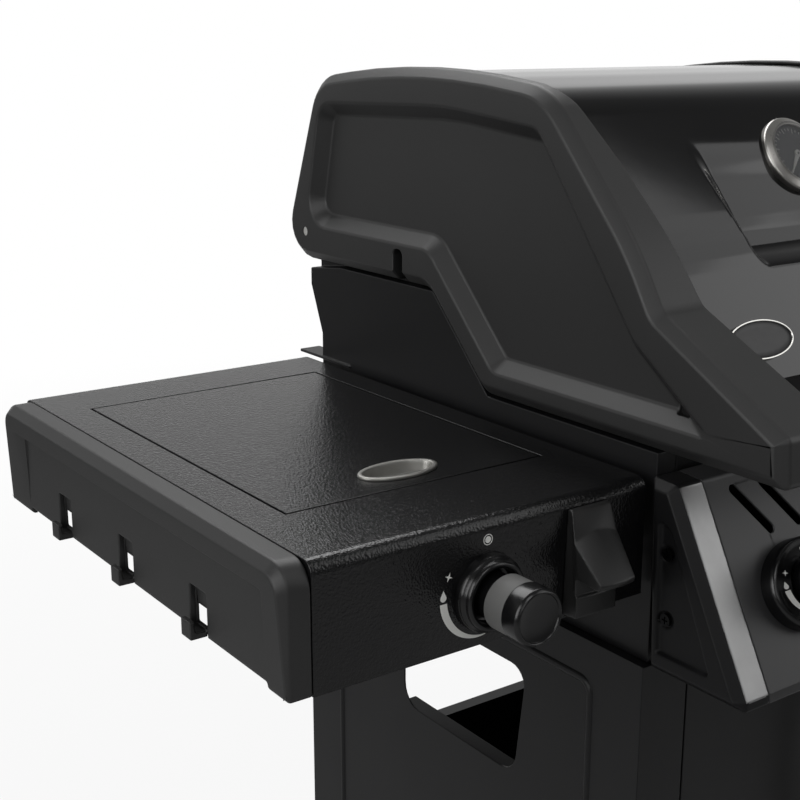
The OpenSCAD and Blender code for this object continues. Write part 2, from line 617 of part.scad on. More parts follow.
// Blocks that bolt the shelf to the firebox
module shelf_lugs() for (y = [62, shelf_d - 110]) block([wall_out, y, -50], [shelf_in + cut, y + 30, -20]);
module shelf_right() color(black) {
    shelf_shell();
    shelf_lugs();
}
module shelf_left() color(black) difference() {
    to_left() {
        shelf_shell();
        shelf_lugs();
    }
    block([cover_x - gap, cover_y - gap, -20], [cover_x + cover_w + gap, cover_y + cover_d + gap, 20]);
    rod_y(-cut, 20, side_knob.x, side_knob.z, 14);
}
hook_z = -shelf_front_h + 6;
// Free width of the recess in front of each hook
hook_room = 10;
module shelf_end() color(casting) {
    corners = [[0, -shelf_front_h, 3], [shelf_d, -shelf_front_h, 3], [shelf_d, 0, 20], [0, 0, 20]];
    difference() {
        loft([ring(shelf_out + 0.5, corners), ring(shelf_out + end_t - chamfer, corners),
            ring(shelf_out + end_t, inset(corners, chamfer))]);
        // Hollow behind the outer wall, open below
        block([shelf_out - cut, 20, -200], [shelf_out + end_t - 10, shelf_d - 20, -12]);
        // The outer face leans inwards towards its foot
        along_y(-cut, shelf_d + cut, [[shelf_out + end_t, -chamfer], [shelf_out + end_t + cut, -chamfer],
            [shelf_out + end_t + cut, -200], [shelf_out + end_t - 10, -200]]);
        // Set-back panel, which ends above the rim's lower edge
        block([shelf_out + end_t - 4, 26, -200], [shelf_out + end_t + cut, shelf_d - 50, -22]);
        set_back_end();
        block([shelf_out - cut, 26, -200], [shelf_out + end_t + cut, shelf_d - 50, hook_z]);
        for (k = [-1:1]) translate([0, shelf_d / 2 + k * hook_pitch, 0]) {
            block([shelf_out + end_t - 9, -hook_w / 2 - hook_room, -200], [shelf_out + end_t, hook_w / 2, -54]);
            // Opening over the tab's root, by which a tool's loop reaches its back
            block([shelf_out, 2 - hook_w / 2 - hook_room, -84], [shelf_out + end_t, hook_w / 2 - 1.5, -69]);
        }
    }
    for (k = [-1:1]) translate([0, shelf_d / 2 + k * hook_pitch, 0]) {
        block([shelf_out + end_t - 10, -hook_w / 2, -92], [shelf_out + end_t + 4, hook_w / 2, -86]);
        block([shelf_out + end_t, -hook_w / 2, -92], [shelf_out + end_t + 4, hook_w / 2, -78]);
    }
}
// Sloping end of the set-back panel, towards the back
module set_back_end() {
    x = shelf_out + end_t;
    translate([0, 0, -200]) linear_extrude(200 - 22)
        polygon([[x - 4, shelf_d - 51], [x + cut, shelf_d - 51], [x + cut, shelf_d - 17], [x, shelf_d - 17]]);
}

// ---------------------------------------------------------------- side burner

module side_cover() color(black) difference() {
    block([cover_x, cover_y, -cover_t], [cover_x + cover_w, cover_y + cover_d, 0]);
    block([cover_x + sheet, cover_y + sheet, -cover_t - cut], [cover_x + cover_w - sheet, cover_y + cover_d - sheet, -sheet]);
    translate([pull_at.x, pull_at.y, -20]) ellipse(pull_a - 4 + 0.3, pull_b - 4 + 0.3, 40);
    for (s = [-1, 1]) rod_x(cover_mid.x + s * cover_w / 2 - 8, cover_mid.x + s * cover_w / 2 + 8, cover_pivot.x, cover_pivot.y,
        cover_pin_r + run);
}
pull_a = 35;
pull_b = 19;
module cover_pull() color("#6f6f6c") translate([pull_at.x, pull_at.y, 0]) difference() {
    union() {
        ellipse(pull_a, pull_b, 2.5);
        translate([0, 0, -15]) ellipse(pull_a - 4, pull_b - 4, 16);
    }
    translate([0, 0, -13]) ellipse(pull_a - 6, pull_b - 6, 20);
}
module side_bowl() color(casting) {
    x0 = cover_x - gap;
    x1 = cover_x + cover_w + gap;
    y0 = cover_y - gap;
    y1 = cover_y + cover_d + gap;
    difference() {
        union() {
            block([x0 - sheet, y0 - sheet, -bowl_depth - sheet], [x1 + sheet, y1 + sheet, -sheet]);
            block([x0 - 12, y0 - 12, -2 * sheet], [x1 + 12, y1 + 12, -sheet]);
        }
        block([x0, y0, -bowl_depth], [x1, y1, 0]);
        rod_z(-bowl_depth - 10, 0, side_knob.x, cover_mid.y, 14);
        for (x = [x0, x1]) rod_x(x - 8, x + 8, cover_pivot.x, cover_pivot.y - 0, cover_pin_r);
    }
}
module side_burner() color(steel) difference() {
    union() {
        rod_z(-bowl_depth, -bowl_depth + 14, side_knob.x, cover_mid.y, head_r - 6);
        rod_z(-bowl_depth + 14, -bowl_depth + 20, side_knob.x, cover_mid.y, head_r);
        rod_z(pipe_z + 2, -bowl_depth + 5, side_knob.x, cover_mid.y, 11);
        rod_y(neck_y + 10, cover_mid.y, side_knob.x, pipe_z + 2, 11);
        translate([side_knob.x, cover_mid.y, pipe_z + 2]) sphere(r = 11);
    }
    rod_y(neck_y + 10 - cut, cover_mid.y, side_knob.x, pipe_z + 2, 9);
    rod_z(pipe_z + 2, -bowl_depth + 12, side_knob.x, cover_mid.y, 9);
    for (t = [0:15:345]) translate([side_knob.x, cover_mid.y, -bowl_depth + 9]) rotate([0, 90, t])
        translate([0, 0, head_r - 12]) cylinder(h = 14, r = 1.5);
}
module side_grate() color(iron) {
    top = -18;
    x = [side_knob.x - 90, side_knob.x + 90];
    y = [cover_mid.y - 90, cover_mid.y + 90];
    for (a = x, b = y) block([a - 4, b - 4, -bowl_depth], [a + 4, b + 4, top]);
    for (b = y) block([x[0], b - 4, top - 8], [x[1], b + 4, top]);
    for (a = [x[0], side_knob.x - 45, side_knob.x, side_knob.x + 45, x[1]]) block([a - 4, y[0], top - 8], [a + 4, y[1], top]);
}
opener_x = -shelf_out + 215.5;
opener_w = 43;
opener_foot = -shelf_front_h + 4;
module bottle_opener() color(casting) along_x(opener_x, opener_x + opener_w,
    [each outline([[0, opener_foot, 0.5], [0, -9, 0.5], [-5, -9, 2], [-11, -27, 3], [-36, -60, 2], [-35, -64, 1.5],
        [-28, -64, 1], [-12, -61, 2], [-12, -73, 1], [-14, -75, 1], [-14, opener_foot, 1]])]);

// ---------------------------------------------------------------- cart

module frame_plate(bottom) {
    x0 = frame_out - sheet;
    difference() {
        union() {
            block([x0, frame_front, bottom], [frame_out, frame_back, frame_top]);
            block([frame_out - flange_w, frame_front, bottom], [frame_out, frame_front + sheet, frame_top]);
            block([frame_out - flange_w, frame_back - sheet, bottom], [frame_out, frame_back, frame_top]);
            block([frame_out - flange_w, frame_front, frame_top - sheet], [frame_out, frame_back, frame_top]);
            block([frame_out - flange_w, frame_front, bottom], [frame_out, frame_back, bottom + sheet]);
            block([x0 - 15, 135, frame_top - 169], [x0 + cut, 320, frame_top - 165]);
        }
        along_x(x0 - cut, frame_out + cut, outline([[148, frame_top - 165, 22], [316, frame_top - 165, 22],
            [316, frame_top - 58, 22], [134, frame_top - 58, 18]]));
    }
}
module frame_left() color(black) to_left() frame_plate(floor_z + foot_h);
module frame_right() color(black) frame_plate(deck_z - skirt_h - sheet);
module cart_deck() color(black) {
    half = frame_out - sheet;
    front = frame_front + sheet;
    back_y = frame_back - sheet;
    difference() {
        block([-half, front, deck_z - skirt_h], [half, back_y, deck_z]);
        block([-half + sheet, front + sheet, deck_z - skirt_h - cut], [half - sheet, back_y - sheet, deck_z - sheet]);
        // Round opening that keeps a gas bottle's foot in place
        rod_z(deck_z - 20, deck_z + cut, -50, 250, 100);
    }
    for (y = [wheel_ys[0] + wheel_w + 4, wheel_ys[1] - 8]) difference() {
        block([axle_x - 20, y, axle_z - 12], [axle_x + 20, y + 4, deck_z - sheet]);
        rod_y(y - cut, y + 5, axle_x, axle_z, axle_r);
    }
    // Lugs that hold the doors' lower pins
    for (s = [-1, 1]) difference() {
        block([s * door_pivot.x - (s > 0 ? 7 : lug_end), frame_front - 3, deck_z - 3],
            [s * door_pivot.x + (s > 0 ? lug_end : 7), 12, deck_z + 3]);
        rod_z(deck_z - 8, deck_z + 8, s * door_pivot.x, door_pivot.y, door_pin_r);
    }
}
module rear_panel() color(black) {
    half = frame_out - sheet;
    top = frame_top - 301;
    block([-half, frame_back - 2 * sheet, deck_z], [half, frame_back - sheet, top]);
    block([-half, frame_back - sheet - 17, top - sheet], [half, frame_back - sheet, top]);
}
runner_low = tray_z - run - sheet;
module front_rail() color(black) {
    half = frame_out - sheet;
    block([-half, 18, frame_top - 24], [half, 36, frame_top - sheet]);
    for (s = [-1, 1]) difference() {
        block([s * door_pivot.x - (s > 0 ? 7 : lug_end), frame_front - 3, frame_top - 6],
            [s * door_pivot.x + (s > 0 ? lug_end : 7), 19, frame_top - 3]);
        rod_z(frame_top - 10, frame_top, s * door_pivot.x, door_pivot.y, door_pin_r);
    }
    // Channels under the frames' top flanges, in which the grease tray slides
    for (s = [0, 1]) mirror([s, 0, 0]) along_y(35, frame_back - sheet,
        [[tray_half - 8, runner_low], [tray_half + 1 + sheet, runner_low], [tray_half + 1 + sheet, frame_top - 2 * sheet],
            [tray_half + 22, frame_top - 2 * sheet], [tray_half + 22, frame_top - sheet], [tray_half + 1, frame_top - sheet],
            [tray_half + 1, runner_low + sheet], [tray_half - 8, runner_low + sheet]]);
}
module door() color(black) difference() {
    block([1.5, frame_front, door_foot], [door_half - 1.5, frame_front + door_t, door_top]);
    block([1.5 + sheet, frame_front + sheet, door_foot + 8], [door_half - 1.5 - 12, frame_front + door_t + cut, door_top - 8]);
    rod_z(door_foot - cut, door_foot + 12, door_pivot.x, door_pivot.y, door_pin_r + run);
    rod_z(door_top - 12, door_top + cut, door_pivot.x, door_pivot.y, door_pin_r + run);
}
handle_x = 24;
module door_handle() color(steel) {
    for (z = [door_top - 60, door_top - 220]) rod_y(frame_front - 30, frame_front, handle_x, z, 5);
    rod_z(door_top - 240, door_top - 40, handle_x, frame_front - 34, 7);
}
module feet() color("#161616") for (y = [frame_front + 22, frame_back - 22])
    rod_z(floor_z, floor_z + foot_h, -frame_out + 24, y, 18);
module axle() color(steel) {
    rod_y(wheel_ys[0] - 5, wheel_ys[1] + wheel_w + 5, axle_x, axle_z, axle_r);
    for (y = [wheel_ys[0] - 5, wheel_ys[1] + wheel_w + 1]) rod_y(y, y + 4, axle_x, axle_z, 11);
}
module wheel(y) color("#191919") translate([axle_x, y, axle_z]) rotate([-90, 0, 0]) difference() {
    rotate_extrude() polygon([[axle_r + run, 0], [18, 0], [18, 8], [wheel_r - 22, 10], [wheel_r - 18, 2], [wheel_r - 5, 2],
        [wheel_r, 8], [wheel_r, wheel_w - 8], [wheel_r - 5, wheel_w - 2], [wheel_r - 18, wheel_w - 2],
        [wheel_r - 22, wheel_w - 10], [18, wheel_w - 8], [18, wheel_w], [axle_r + run, wheel_w]]);
    for (t = [0:60:300]) rotate(t) translate([41, 0, -cut]) cylinder(h = 60, r = 12);
}

// Pins of the hood, the flush cover and the doors
module hinge_pins() color("#d0d0cc") {
    for (s = [0, 1]) mirror([s, 0, 0]) {
        rod_x(wall_in - 4, hood_x - 1, pivot.x, pivot.y, pin_r);
        rod_x(wall_in - 4, wall_in, pivot.x, pivot.y, 8);
        rod_z(door_top - 10, frame_top - 3, door_pivot.x, door_pivot.y, door_pin_r);
        rod_z(deck_z, door_foot + 10, door_pivot.x, door_pivot.y, door_pin_r);
    }
    for (s = [-1, 1]) {
        side = cover_mid.x + s * (cover_w / 2 + gap);
        rod_x(side - (s > 0 ? 6 : 3), side + (s > 0 ? 3 : 6), cover_pivot.x, cover_pivot.y, cover_pin_r);
    }
}

place() hood_skin();
place() to_left() hood_end();  // hood_end_left
place() hood_end();  // hood_end_right
place() hood_handle();
place() name_plate();
place() gauge_housing();
place() gauge_dial();
place() gauge_needle();
place() gauge_glass();
place() hinge_pins();
place() to_left() firebox_side();  // firebox_side_left
place() firebox_side();  // firebox_side_right
place() firebox_pan();
place() burner(knob_xs[0]);  // burner_left
place() burner(knob_xs[1]);  // burner_centre
place() burner(knob_xs[2]);  // burner_right
place() heat_plates();
place() cooking_grates();
place() warming_rack();
place() grease_tray();
place() grease_cup();
place() gas_manifold();
place() gas_valves();
place() side_gas_pipe();
place() control_panel();
place() to_left() control_end();  // control_end_left
place() control_end();  // control_end_right
place() panel_screws();
place() knob_bezels();
place() on_panel(knob_xs[0]) color(steel) stem();  // stem_left
place() on_panel(knob_xs[1]) color(steel) stem();  // stem_centre
place() on_panel(knob_xs[2]) color(steel) stem();  // stem_right
place() on_shelf_front() color(steel) stem();  // stem_side
place() on_panel(knob_xs[0]) color(black) knob();  // knob_left
place() on_panel(knob_xs[1]) color(black) knob();  // knob_centre
place() on_panel(knob_xs[2]) color(black) knob();  // knob_right
place() on_shelf_front() color(black) knob();  // knob_side
place() shelf_left();
place() to_left() shelf_end();  // shelf_end_left
place() shelf_right();
place() shelf_end();  // shelf_end_right
place() side_cover();
place() cover_pull();
place() side_bowl();
place() side_burner();
place() side_grate();
place() bottle_opener();
place() frame_left();
place() frame_right();
place() cart_deck();
place() rear_panel();
place() front_rail();
place() to_left() door();  // door_left
place() door();  // door_right
place() to_left() door_handle();  // door_handle_left
place() door_handle();  // door_handle_right
place() feet();
place() axle();
place() wheel(wheel_ys[0]);  // wheel_front
place() wheel(wheel_ys[1]);  // wheel_rear
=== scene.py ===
# %% [markdown]
# A gas barbecue grill in its real finishes. The solid model comes in as a
# fixed frame: every sub-part already sits at its place, in metres, with +Z up and
# +Y to the back. This lesson gives each sub-part the finish of the real one, and
# remakes in softer, finer form the pieces that the eye rests on: the hood's
# pressed skin and castings, the shelf, the knobs, the opener and the gauge.

# %% Load the frame
import bpy, bmesh, json, math
from mathutils import Matrix, Vector

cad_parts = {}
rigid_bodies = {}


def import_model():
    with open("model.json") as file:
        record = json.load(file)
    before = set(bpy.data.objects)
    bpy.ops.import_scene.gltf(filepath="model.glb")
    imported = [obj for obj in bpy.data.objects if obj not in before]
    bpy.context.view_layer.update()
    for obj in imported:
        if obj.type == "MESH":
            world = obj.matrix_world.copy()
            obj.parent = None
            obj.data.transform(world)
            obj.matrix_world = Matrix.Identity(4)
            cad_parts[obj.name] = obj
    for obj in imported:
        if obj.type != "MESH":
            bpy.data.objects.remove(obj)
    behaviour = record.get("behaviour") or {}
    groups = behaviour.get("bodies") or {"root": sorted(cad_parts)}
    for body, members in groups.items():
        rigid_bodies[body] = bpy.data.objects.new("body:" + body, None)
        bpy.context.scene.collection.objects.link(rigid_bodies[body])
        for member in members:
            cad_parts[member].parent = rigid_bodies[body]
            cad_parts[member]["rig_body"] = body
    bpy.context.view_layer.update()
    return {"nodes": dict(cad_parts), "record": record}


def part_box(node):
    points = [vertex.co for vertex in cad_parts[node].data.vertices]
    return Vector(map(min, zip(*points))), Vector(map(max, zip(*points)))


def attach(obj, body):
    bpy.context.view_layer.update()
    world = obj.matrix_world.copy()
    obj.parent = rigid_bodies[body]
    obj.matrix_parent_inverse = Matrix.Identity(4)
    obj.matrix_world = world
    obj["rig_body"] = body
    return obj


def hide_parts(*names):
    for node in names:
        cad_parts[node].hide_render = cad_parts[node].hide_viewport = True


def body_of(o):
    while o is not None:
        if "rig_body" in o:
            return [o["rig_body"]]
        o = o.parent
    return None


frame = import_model()
nodes = frame["nodes"]

# %% [markdown]
# The camera comes first, because each piece is judged through it. The grill is
# seen from its front left corner, from a little above the hood, with a short
# telephoto lens, so the side shelf comes forward and the hood fills the frame.

# %% Camera
cam = bpy.data.cameras.new("camera")
cam.lens, cam.sensor_width = 61.7, 36
camera = bpy.data.objects.new("camera", cam)
camera.location = (-0.9686, -0.8910, 1.2155)
camera.rotation_euler = (math.radians(74.9), 0, math.radians(-35.4))
bpy.context.scene.collection.objects.link(camera)
bpy.context.scene.camera = camera
print("camera at", [round(v, 3) for v in camera.location])

# %% [markdown]
# Most of the grill is black, and black things are shown by what they reflect. So
# the studio is a white room with wide soft lamps: one above and behind for the
# hood's crest, a tall one at the right whose edge draws the line across the hood's
# front, a lower one for the panel, three at the left and above that fill the
# castings, and a low one behind.
# The floor and the world are white to the camera and to reflections.

# %% Floor, world and lamps
def put(tree, kind, inputs=(), **props):
    """Adds one node: props set its properties, inputs its sockets, by value or by link."""
    made = tree.nodes.new(kind)
    for key, value in props.items():
        setattr(made, key, value)
    for key, value in dict(inputs).items():
        if isinstance(value, bpy.types.NodeSocket):
            tree.links.new(value, made.inputs[key])
        else:
            made.inputs[key].default_value = value
    return made


def tone(code):
    """An sRGB colour such as "#2b2b2b" as linear red, green, blue and alpha."""
    parts = [int(code[i:i + 2], 16) / 255 for i in (1, 3, 5)]
    return (*[p / 12.92 if p <= 0.04045 else ((p + 0.055) / 1.055) ** 2.4 for p in parts], 1)


scene = bpy.context.scene
scene.view_settings.view_transform = "Standard"
world = bpy.data.worlds.new("studio")
scene.world = world
world.use_nodes = True
sky = world.node_tree
sky.nodes.clear()
path = put(sky, "ShaderNodeLightPath")
seen = put(sky, "ShaderNodeMath", {0: path.outputs["Is Camera Ray"],
                                   1: path.outputs["Is Transmission Ray"]}, operation="MAXIMUM")
up = put(sky, "ShaderNodeTexCoord")
height = put(sky, "ShaderNodeSeparateXYZ", {0: up.outputs["Generated"]})
room = put(sky, "ShaderNodeMapRange", {"Value": height.outputs["Z"], "From Min": 0.05,
                                       "From Max": 0.75, "To Min": 0.85, "To Max": 0.06})
rear = put(sky, "ShaderNodeMapRange", {"Value": height.outputs["Y"], "From Min": -0.35,
                                       "From Max": 0.35, "To Min": 0.1, "To Max": 1.0})
wall = put(sky, "ShaderNodeMath", {0: rear.outputs[0], 1: room.outputs[0]}, operation="MULTIPLY")
shiny = put(sky, "ShaderNodeMath", {0: path.outputs["Is Glossy Ray"], 1: wall.outputs[0]},
            operation="MULTIPLY")
ambient = put(sky, "ShaderNodeMath", {0: shiny.outputs[0], 1: 0.12}, operation="MAXIMUM")
strength = put(sky, "ShaderNodeMath", {0: ambient.outputs[0], 1: seen.outputs[0]},
               operation="MAXIMUM")
white = put(sky, "ShaderNodeBackground", {"Color": (1, 1, 1, 1), "Strength": strength.outputs[0]})
put(sky, "ShaderNodeOutputWorld", {"Surface": white.outputs[0]})

bpy.ops.mesh.primitive_plane_add(size=60, location=(0, 0, 0))
floor = bpy.context.object
floor.name = "floor"
pale = bpy.data.materials.new("white_paper")
pale.use_nodes = True
paper = pale.node_tree
paper.nodes.clear()
ray = put(paper, "ShaderNodeLightPath")
shown = put(paper, "ShaderNodeMath", {0: ray.outputs["Is Camera Ray"],
                                      1: ray.outputs["Is Transmission Ray"]}, operation="MAXIMUM")
lit = put(paper, "ShaderNodeBsdfDiffuse", {"Color": tone("#b4b4b4")})
glow = put(paper, "ShaderNodeEmission", {"Color": (1, 1, 1, 1), "Strength": 1.0})
spread_out = put(paper, "ShaderNodeTexCoord")
away = put(paper, "ShaderNodeVectorMath", {0: spread_out.outputs["Object"]}, operation="LENGTH")
fade = put(paper, "ShaderNodeMapRange", {"Value": away.outputs["Value"], "From Min": 1.0,
                                         "From Max": 4.0, "To Min": 0.9, "To Max": 1.0})
share = put(paper, "ShaderNodeMath", {0: shown.outputs[0], 1: fade.outputs[0]},
            operation="MULTIPLY")
both = put(paper, "ShaderNodeMixShader", {0: share.outputs[0], 1: lit.outputs[0],
                                          2: glow.outputs[0]})
put(paper, "ShaderNodeOutputMaterial", {"Surface": both.outputs[0]})
floor.data.materials.append(pale)

lamps = {  # name: (place, aimed at, width, height, power)
    "top_back": ((0.2, 1.3, 3.0), (0, 0.1, 1.0), 2.6, 1.6, 52),
    "tall_right": ((2.2, -1.9, 2.6), (-0.2, -0.1, 1.0), 2.1, 3.2, 20),
    "low_right": ((1.95, -2.1, 1.9), (-0.2, -0.2, 0.9), 1.8, 1.7, 6),
    "left_fill": ((-3.2, -0.4, 1.9), (0, 0, 0.9), 1.8, 2.2, 40),
    "front_left": ((-1.7, -2.7, 2.2), (-0.3, 0, 0.9), 1.6, 1.6, 10),
    "front_top": ((-0.72, -1.9, 3.4), (-0.3, -0.2, 1.0), 1.2, 1.2, 12),
    "rear_fill": ((0.6, 3.2, 0.42), (0, 0, 0.6), 2.0, 0.7, 12),
}
for name, (place, aim, wide, high, power) in lamps.items():
    data = bpy.data.lights.new(name, "AREA")
    data.shape, data.size, data.size_y, data.energy = "RECTANGLE", wide, high, power
    lamp = bpy.data.objects.new(name, data)
    lamp.location = place
    lamp.rotation_euler = (Vector(aim) - Vector(place)).to_track_quat("-Z", "Y").to_euler()
    scene.collection.objects.link(lamp)
print("lamps:", ", ".join(lamps))

# %% [markdown]
# Each finish starts the same way: a material with the standard shader and the
# object's own coordinates, in metres, so a pattern has the same size on every
# sub-part and does not slide when a part moves.

# %% A start for each finish
MM = 0.001


def begin(name, colour, rough, **settings):
    """A new material: (its node tree, its shader, the object's coordinates)."""
    made = bpy.data.materials.new(name)
    made.use_nodes = True
    tree = made.node_tree
    tree.nodes.clear()
    shader = put(tree, "ShaderNodeBsdfPrincipled", {"Base Color": tone(colour), "Roughness": rough})
    for key, value in settings.items():
        shader.inputs[key.replace("_", " ")].default_value = value
    put(tree, "ShaderNodeOutputMaterial", {"Surface": shader.outputs[0]})
    coords = put(tree, "ShaderNodeTexCoord").outputs["Object"]
    return made, tree, shader, coords


def feed(shader, socket, source, output=0):
    """Links a node's output to one of the shader's sockets."""
    shader.id_data.links.new(source.outputs[output], shader.inputs[socket])


# %% [markdown]
# The hood is pressed from steel sheet and coated with gloss black enamel. It is
# almost a mirror, but baked enamel is never quite flat: a faint ripple, about a
# centimetre long and a few microns deep, makes the reflections swim a little.

# %% Gloss enamel
enamel, t, s, at = begin("gloss_enamel_on_steel", "#0a0a0b", 0.09)
ripple = put(t, "ShaderNodeTexNoise", {"Vector": at, "Scale": 90.0, "Detail": 1.0})
dust = put(t, "ShaderNodeTexNoise", {"Vector": at, "Scale": 14.0, "Detail": 4.0})
blur = put(t, "ShaderNodeMapRange", {"Value": dust.outputs[0], "To Min": 0.07, "To Max": 0.12})
feed(s, "Roughness", blur)
wave = put(t, "ShaderNodeBump", {"Height": ripple.outputs[0], "Strength": 0.25,
                                 "Distance": 0.04 * MM})
feed(s, "Normal", wave)

# %% [markdown]
# The hood's ends, the control panel's ends and the shelf's end caps are die-cast
# aluminium under a matt, fine-grained powder coat. The grain, about half a
# millimetre, scatters the highlights into a soft grey, and wear shows as slightly
# paler patches.

# %% Powder-coated casting
casting, t, s, at = begin("powder_coated_die_cast_aluminium", "#242424", 0.45)
grain = put(t, "ShaderNodeTexNoise", {"Vector": at, "Scale": 1500.0, "Detail": 2.0})
patch = put(t, "ShaderNodeTexNoise", {"Vector": at, "Scale": 9.0, "Detail": 3.0})
shade = put(t, "ShaderNodeMix", {0: patch.outputs[0], 6: tone("#222222"), 7: tone("#282828")},
            data_type="RGBA")
feed(s, "Base Color", shade, 2)
spread = put(t, "ShaderNodeMapRange", {"Value": grain.outputs[0], "To Min": 0.38, "To Max": 0.52})
feed(s, "Roughness", spread)
bump = put(t, "ShaderNodeBump", {"Height": grain.outputs[0], "Strength": 0.5,
                                 "Distance": 0.06 * MM})
feed(s, "Normal", bump)

# %% [markdown]
# The shelves carry a leather-like powder coat: shallow round pebbles under two
# millimetres across, glossy on top, that break a reflection into small glints.

# %% Wrinkled powder coat
wrinkle, t, s, at = begin("wrinkled_powder_coat_on_steel", "#0b0b0c", 0.24)
warp = put(t, "ShaderNodeTexNoise", {"Vector": at, "Scale": 300.0, "Detail": 2.0})
shift = put(t, "ShaderNodeVectorMath", {0: warp.outputs["Color"], 1: (0.0009, 0.0009, 0.0009)},
            operation="MULTIPLY")
moved = put(t, "ShaderNodeVectorMath", {0: at, 1: shift.outputs[0]}, operation="ADD")
cell = put(t, "ShaderNodeTexVoronoi", {"Vector": moved.outputs[0], "Scale": 680.0},
           feature="SMOOTH_F1")
broad = put(t, "ShaderNodeTexNoise", {"Vector": at, "Scale": 330.0, "Detail": 1.0})
relief = put(t, "ShaderNodeMath", {0: broad.outputs[0], 1: 0.8, 2: cell.outputs["Distance"]},
             operation="MULTIPLY_ADD")
bump = put(t, "ShaderNodeBump", {"Height": relief.outputs[0], "Strength": 1.0,
                                 "Distance": 0.26 * MM})
feed(s, "Normal", bump)

# %% [markdown]
# The cart's sheet metal has a smoother satin black paint, with only the faint
# orange-peel skin that sprayed paint dries with.

# %% Satin paint
satin, t, s, at = begin("satin_paint_on_steel", "#141415", 0.4, Specular_IOR_Level=0.3)
peel = put(t, "ShaderNodeTexNoise", {"Vector": at, "Scale": 420.0, "Detail": 2.0})
bump = put(t, "ShaderNodeBump", {"Height": peel.outputs[0], "Strength": 0.35,
                                 "Distance": 0.06 * MM})
feed(s, "Normal", bump)
smear = put(t, "ShaderNodeTexNoise", {"Vector": at, "Scale": 11.0, "Detail": 3.0})
blur = put(t, "ShaderNodeMapRange", {"Value": smear.outputs[0], "To Min": 0.34, "To Max": 0.46})
feed(s, "Roughness", blur)

# %% [markdown]
# The control panel's paint is a dark grey with a soft sheen and a very fine grain.

# %% Panel paint
panel_paint, t, s, at = begin("fine_grained_paint_on_steel", "#2a2a2b", 0.42)
grit = put(t, "ShaderNodeTexNoise", {"Vector": at, "Scale": 2200.0, "Detail": 1.0})
bump = put(t, "ShaderNodeBump", {"Height": grit.outputs[0], "Strength": 0.3,
                                 "Distance": 0.04 * MM})
feed(s, "Normal", bump)
blur = put(t, "ShaderNodeMapRange", {"Value": grit.outputs[0], "To Min": 0.36, "To Max": 0.48})
feed(s, "Roughness", blur)

# %% [markdown]
# The control panel's two ends are painted in two copies of one casting paint. Their sides
# get a darker copy, a painted shade; their front strips get a lighter metallic grey copy,
# a painted sheen. Being metallic, the strip shines far more towards a lamp than a plain grey would.

# %% Painted shade and painted sheen on the panel's ends
# A darker copy of the casting paint: painted shade on the ends' sides, under the shelf.
shaded_end_paint, t, s, at = begin("casting_paint_darkened_as_painted_shade", "#111112", 0.42, Specular_IOR_Level=0.2)
fine = put(t, "ShaderNodeTexNoise", {"Vector": at, "Scale": 1800.0, "Detail": 2.0})
blur = put(t, "ShaderNodeMapRange", {"Value": fine.outputs[0], "To Min": 0.36, "To Max": 0.5})
feed(s, "Roughness", blur)
# A lighter metallic copy of the casting paint: painted sheen on the ends' front strips.
sheen_end_paint, t, s, at = begin("casting_paint_lightened_as_painted_sheen", "#939393", 0.4, Metallic=1.0)
sheen_speckle = put(t, "ShaderNodeTexNoise", {"Vector": at, "Scale": 1800.0, "Detail": 2.0})
drift = put(t, "ShaderNodeTexNoise", {"Vector": at, "Scale": 40.0, "Detail": 4.0})
shade = put(t, "ShaderNodeMix", {0: drift.outputs[0], 6: tone("#898989"), 7: tone("#9f9f9f")},
            data_type="RGBA")
feed(s, "Base Color", shade, 2)
blur = put(t, "ShaderNodeMapRange", {"Value": sheen_speckle.outputs[0], "To Min": 0.32, "To Max": 0.46})
feed(s, "Roughness", blur)

# %% [markdown]
# The screws are blackened steel: a thin oxide that leaves the metal's own shine.

# %% Blackened steel
black_oxide, t, s, at = begin("black_oxide_on_steel", "#1a1a1b", 0.3, Metallic=0.9)
bloom = put(t, "ShaderNodeTexNoise", {"Vector": at, "Scale": 600.0, "Detail": 3.0})
blur = put(t, "ShaderNodeMapRange", {"Value": bloom.outputs[0], "To Min": 0.2, "To Max": 0.42})
feed(s, "Roughness", blur)

# %% [markdown]
# The knobs' grip band is a softer, rubbery grey with a barely visible pebble.

# %% Soft-touch grip
grip, t, s, at = begin("soft_touch_grey_grip", "#5e5e5d", 0.62)
pebble = put(t, "ShaderNodeTexVoronoi", {"Vector": at, "Scale": 1500.0})
bump = put(t, "ShaderNodeBump", {"Height": pebble.outputs["Distance"], "Strength": 0.3,
                                 "Distance": 0.05 * MM})
feed(s, "Normal", bump)
rub = put(t, "ShaderNodeTexNoise", {"Vector": at, "Scale": 90.0, "Detail": 3.0})
blur = put(t, "ShaderNodeMapRange", {"Value": rub.outputs[0], "To Min": 0.54, "To Max": 0.7})
feed(s, "Roughness", blur)

# %% [markdown]
# Brushed stainless steel keeps the brush's scratches, all along one direction.
# Stretching a noise pattern thirty times along X draws them.

# %% Brushed stainless steel
brushed, t, s, at = begin("brushed_stainless_steel", "#b4b2ae", 0.3, Metallic=1.0)
along = put(t, "ShaderNodeMapping", {"Vector": at, "Scale": (30.0, 900.0, 900.0)})
brush = put(t, "ShaderNodeTexNoise", {"Vector": along.outputs[0], "Scale": 1.0, "Detail": 3.0})
blur = put(t, "ShaderNodeMapRange", {"Value": brush.outputs[0], "To Min": 0.22, "To Max": 0.4})
feed(s, "Roughness", blur)
bump = put(t, "ShaderNodeBump", {"Height": brush.outputs[0], "Strength": 0.2,
                                 "Distance": 0.03 * MM})
feed(s, "Normal", bump)

# %% [markdown]
# The valve stems, the axle and the warming rack are bright plated steel: smooth, with
# the faintest haze.

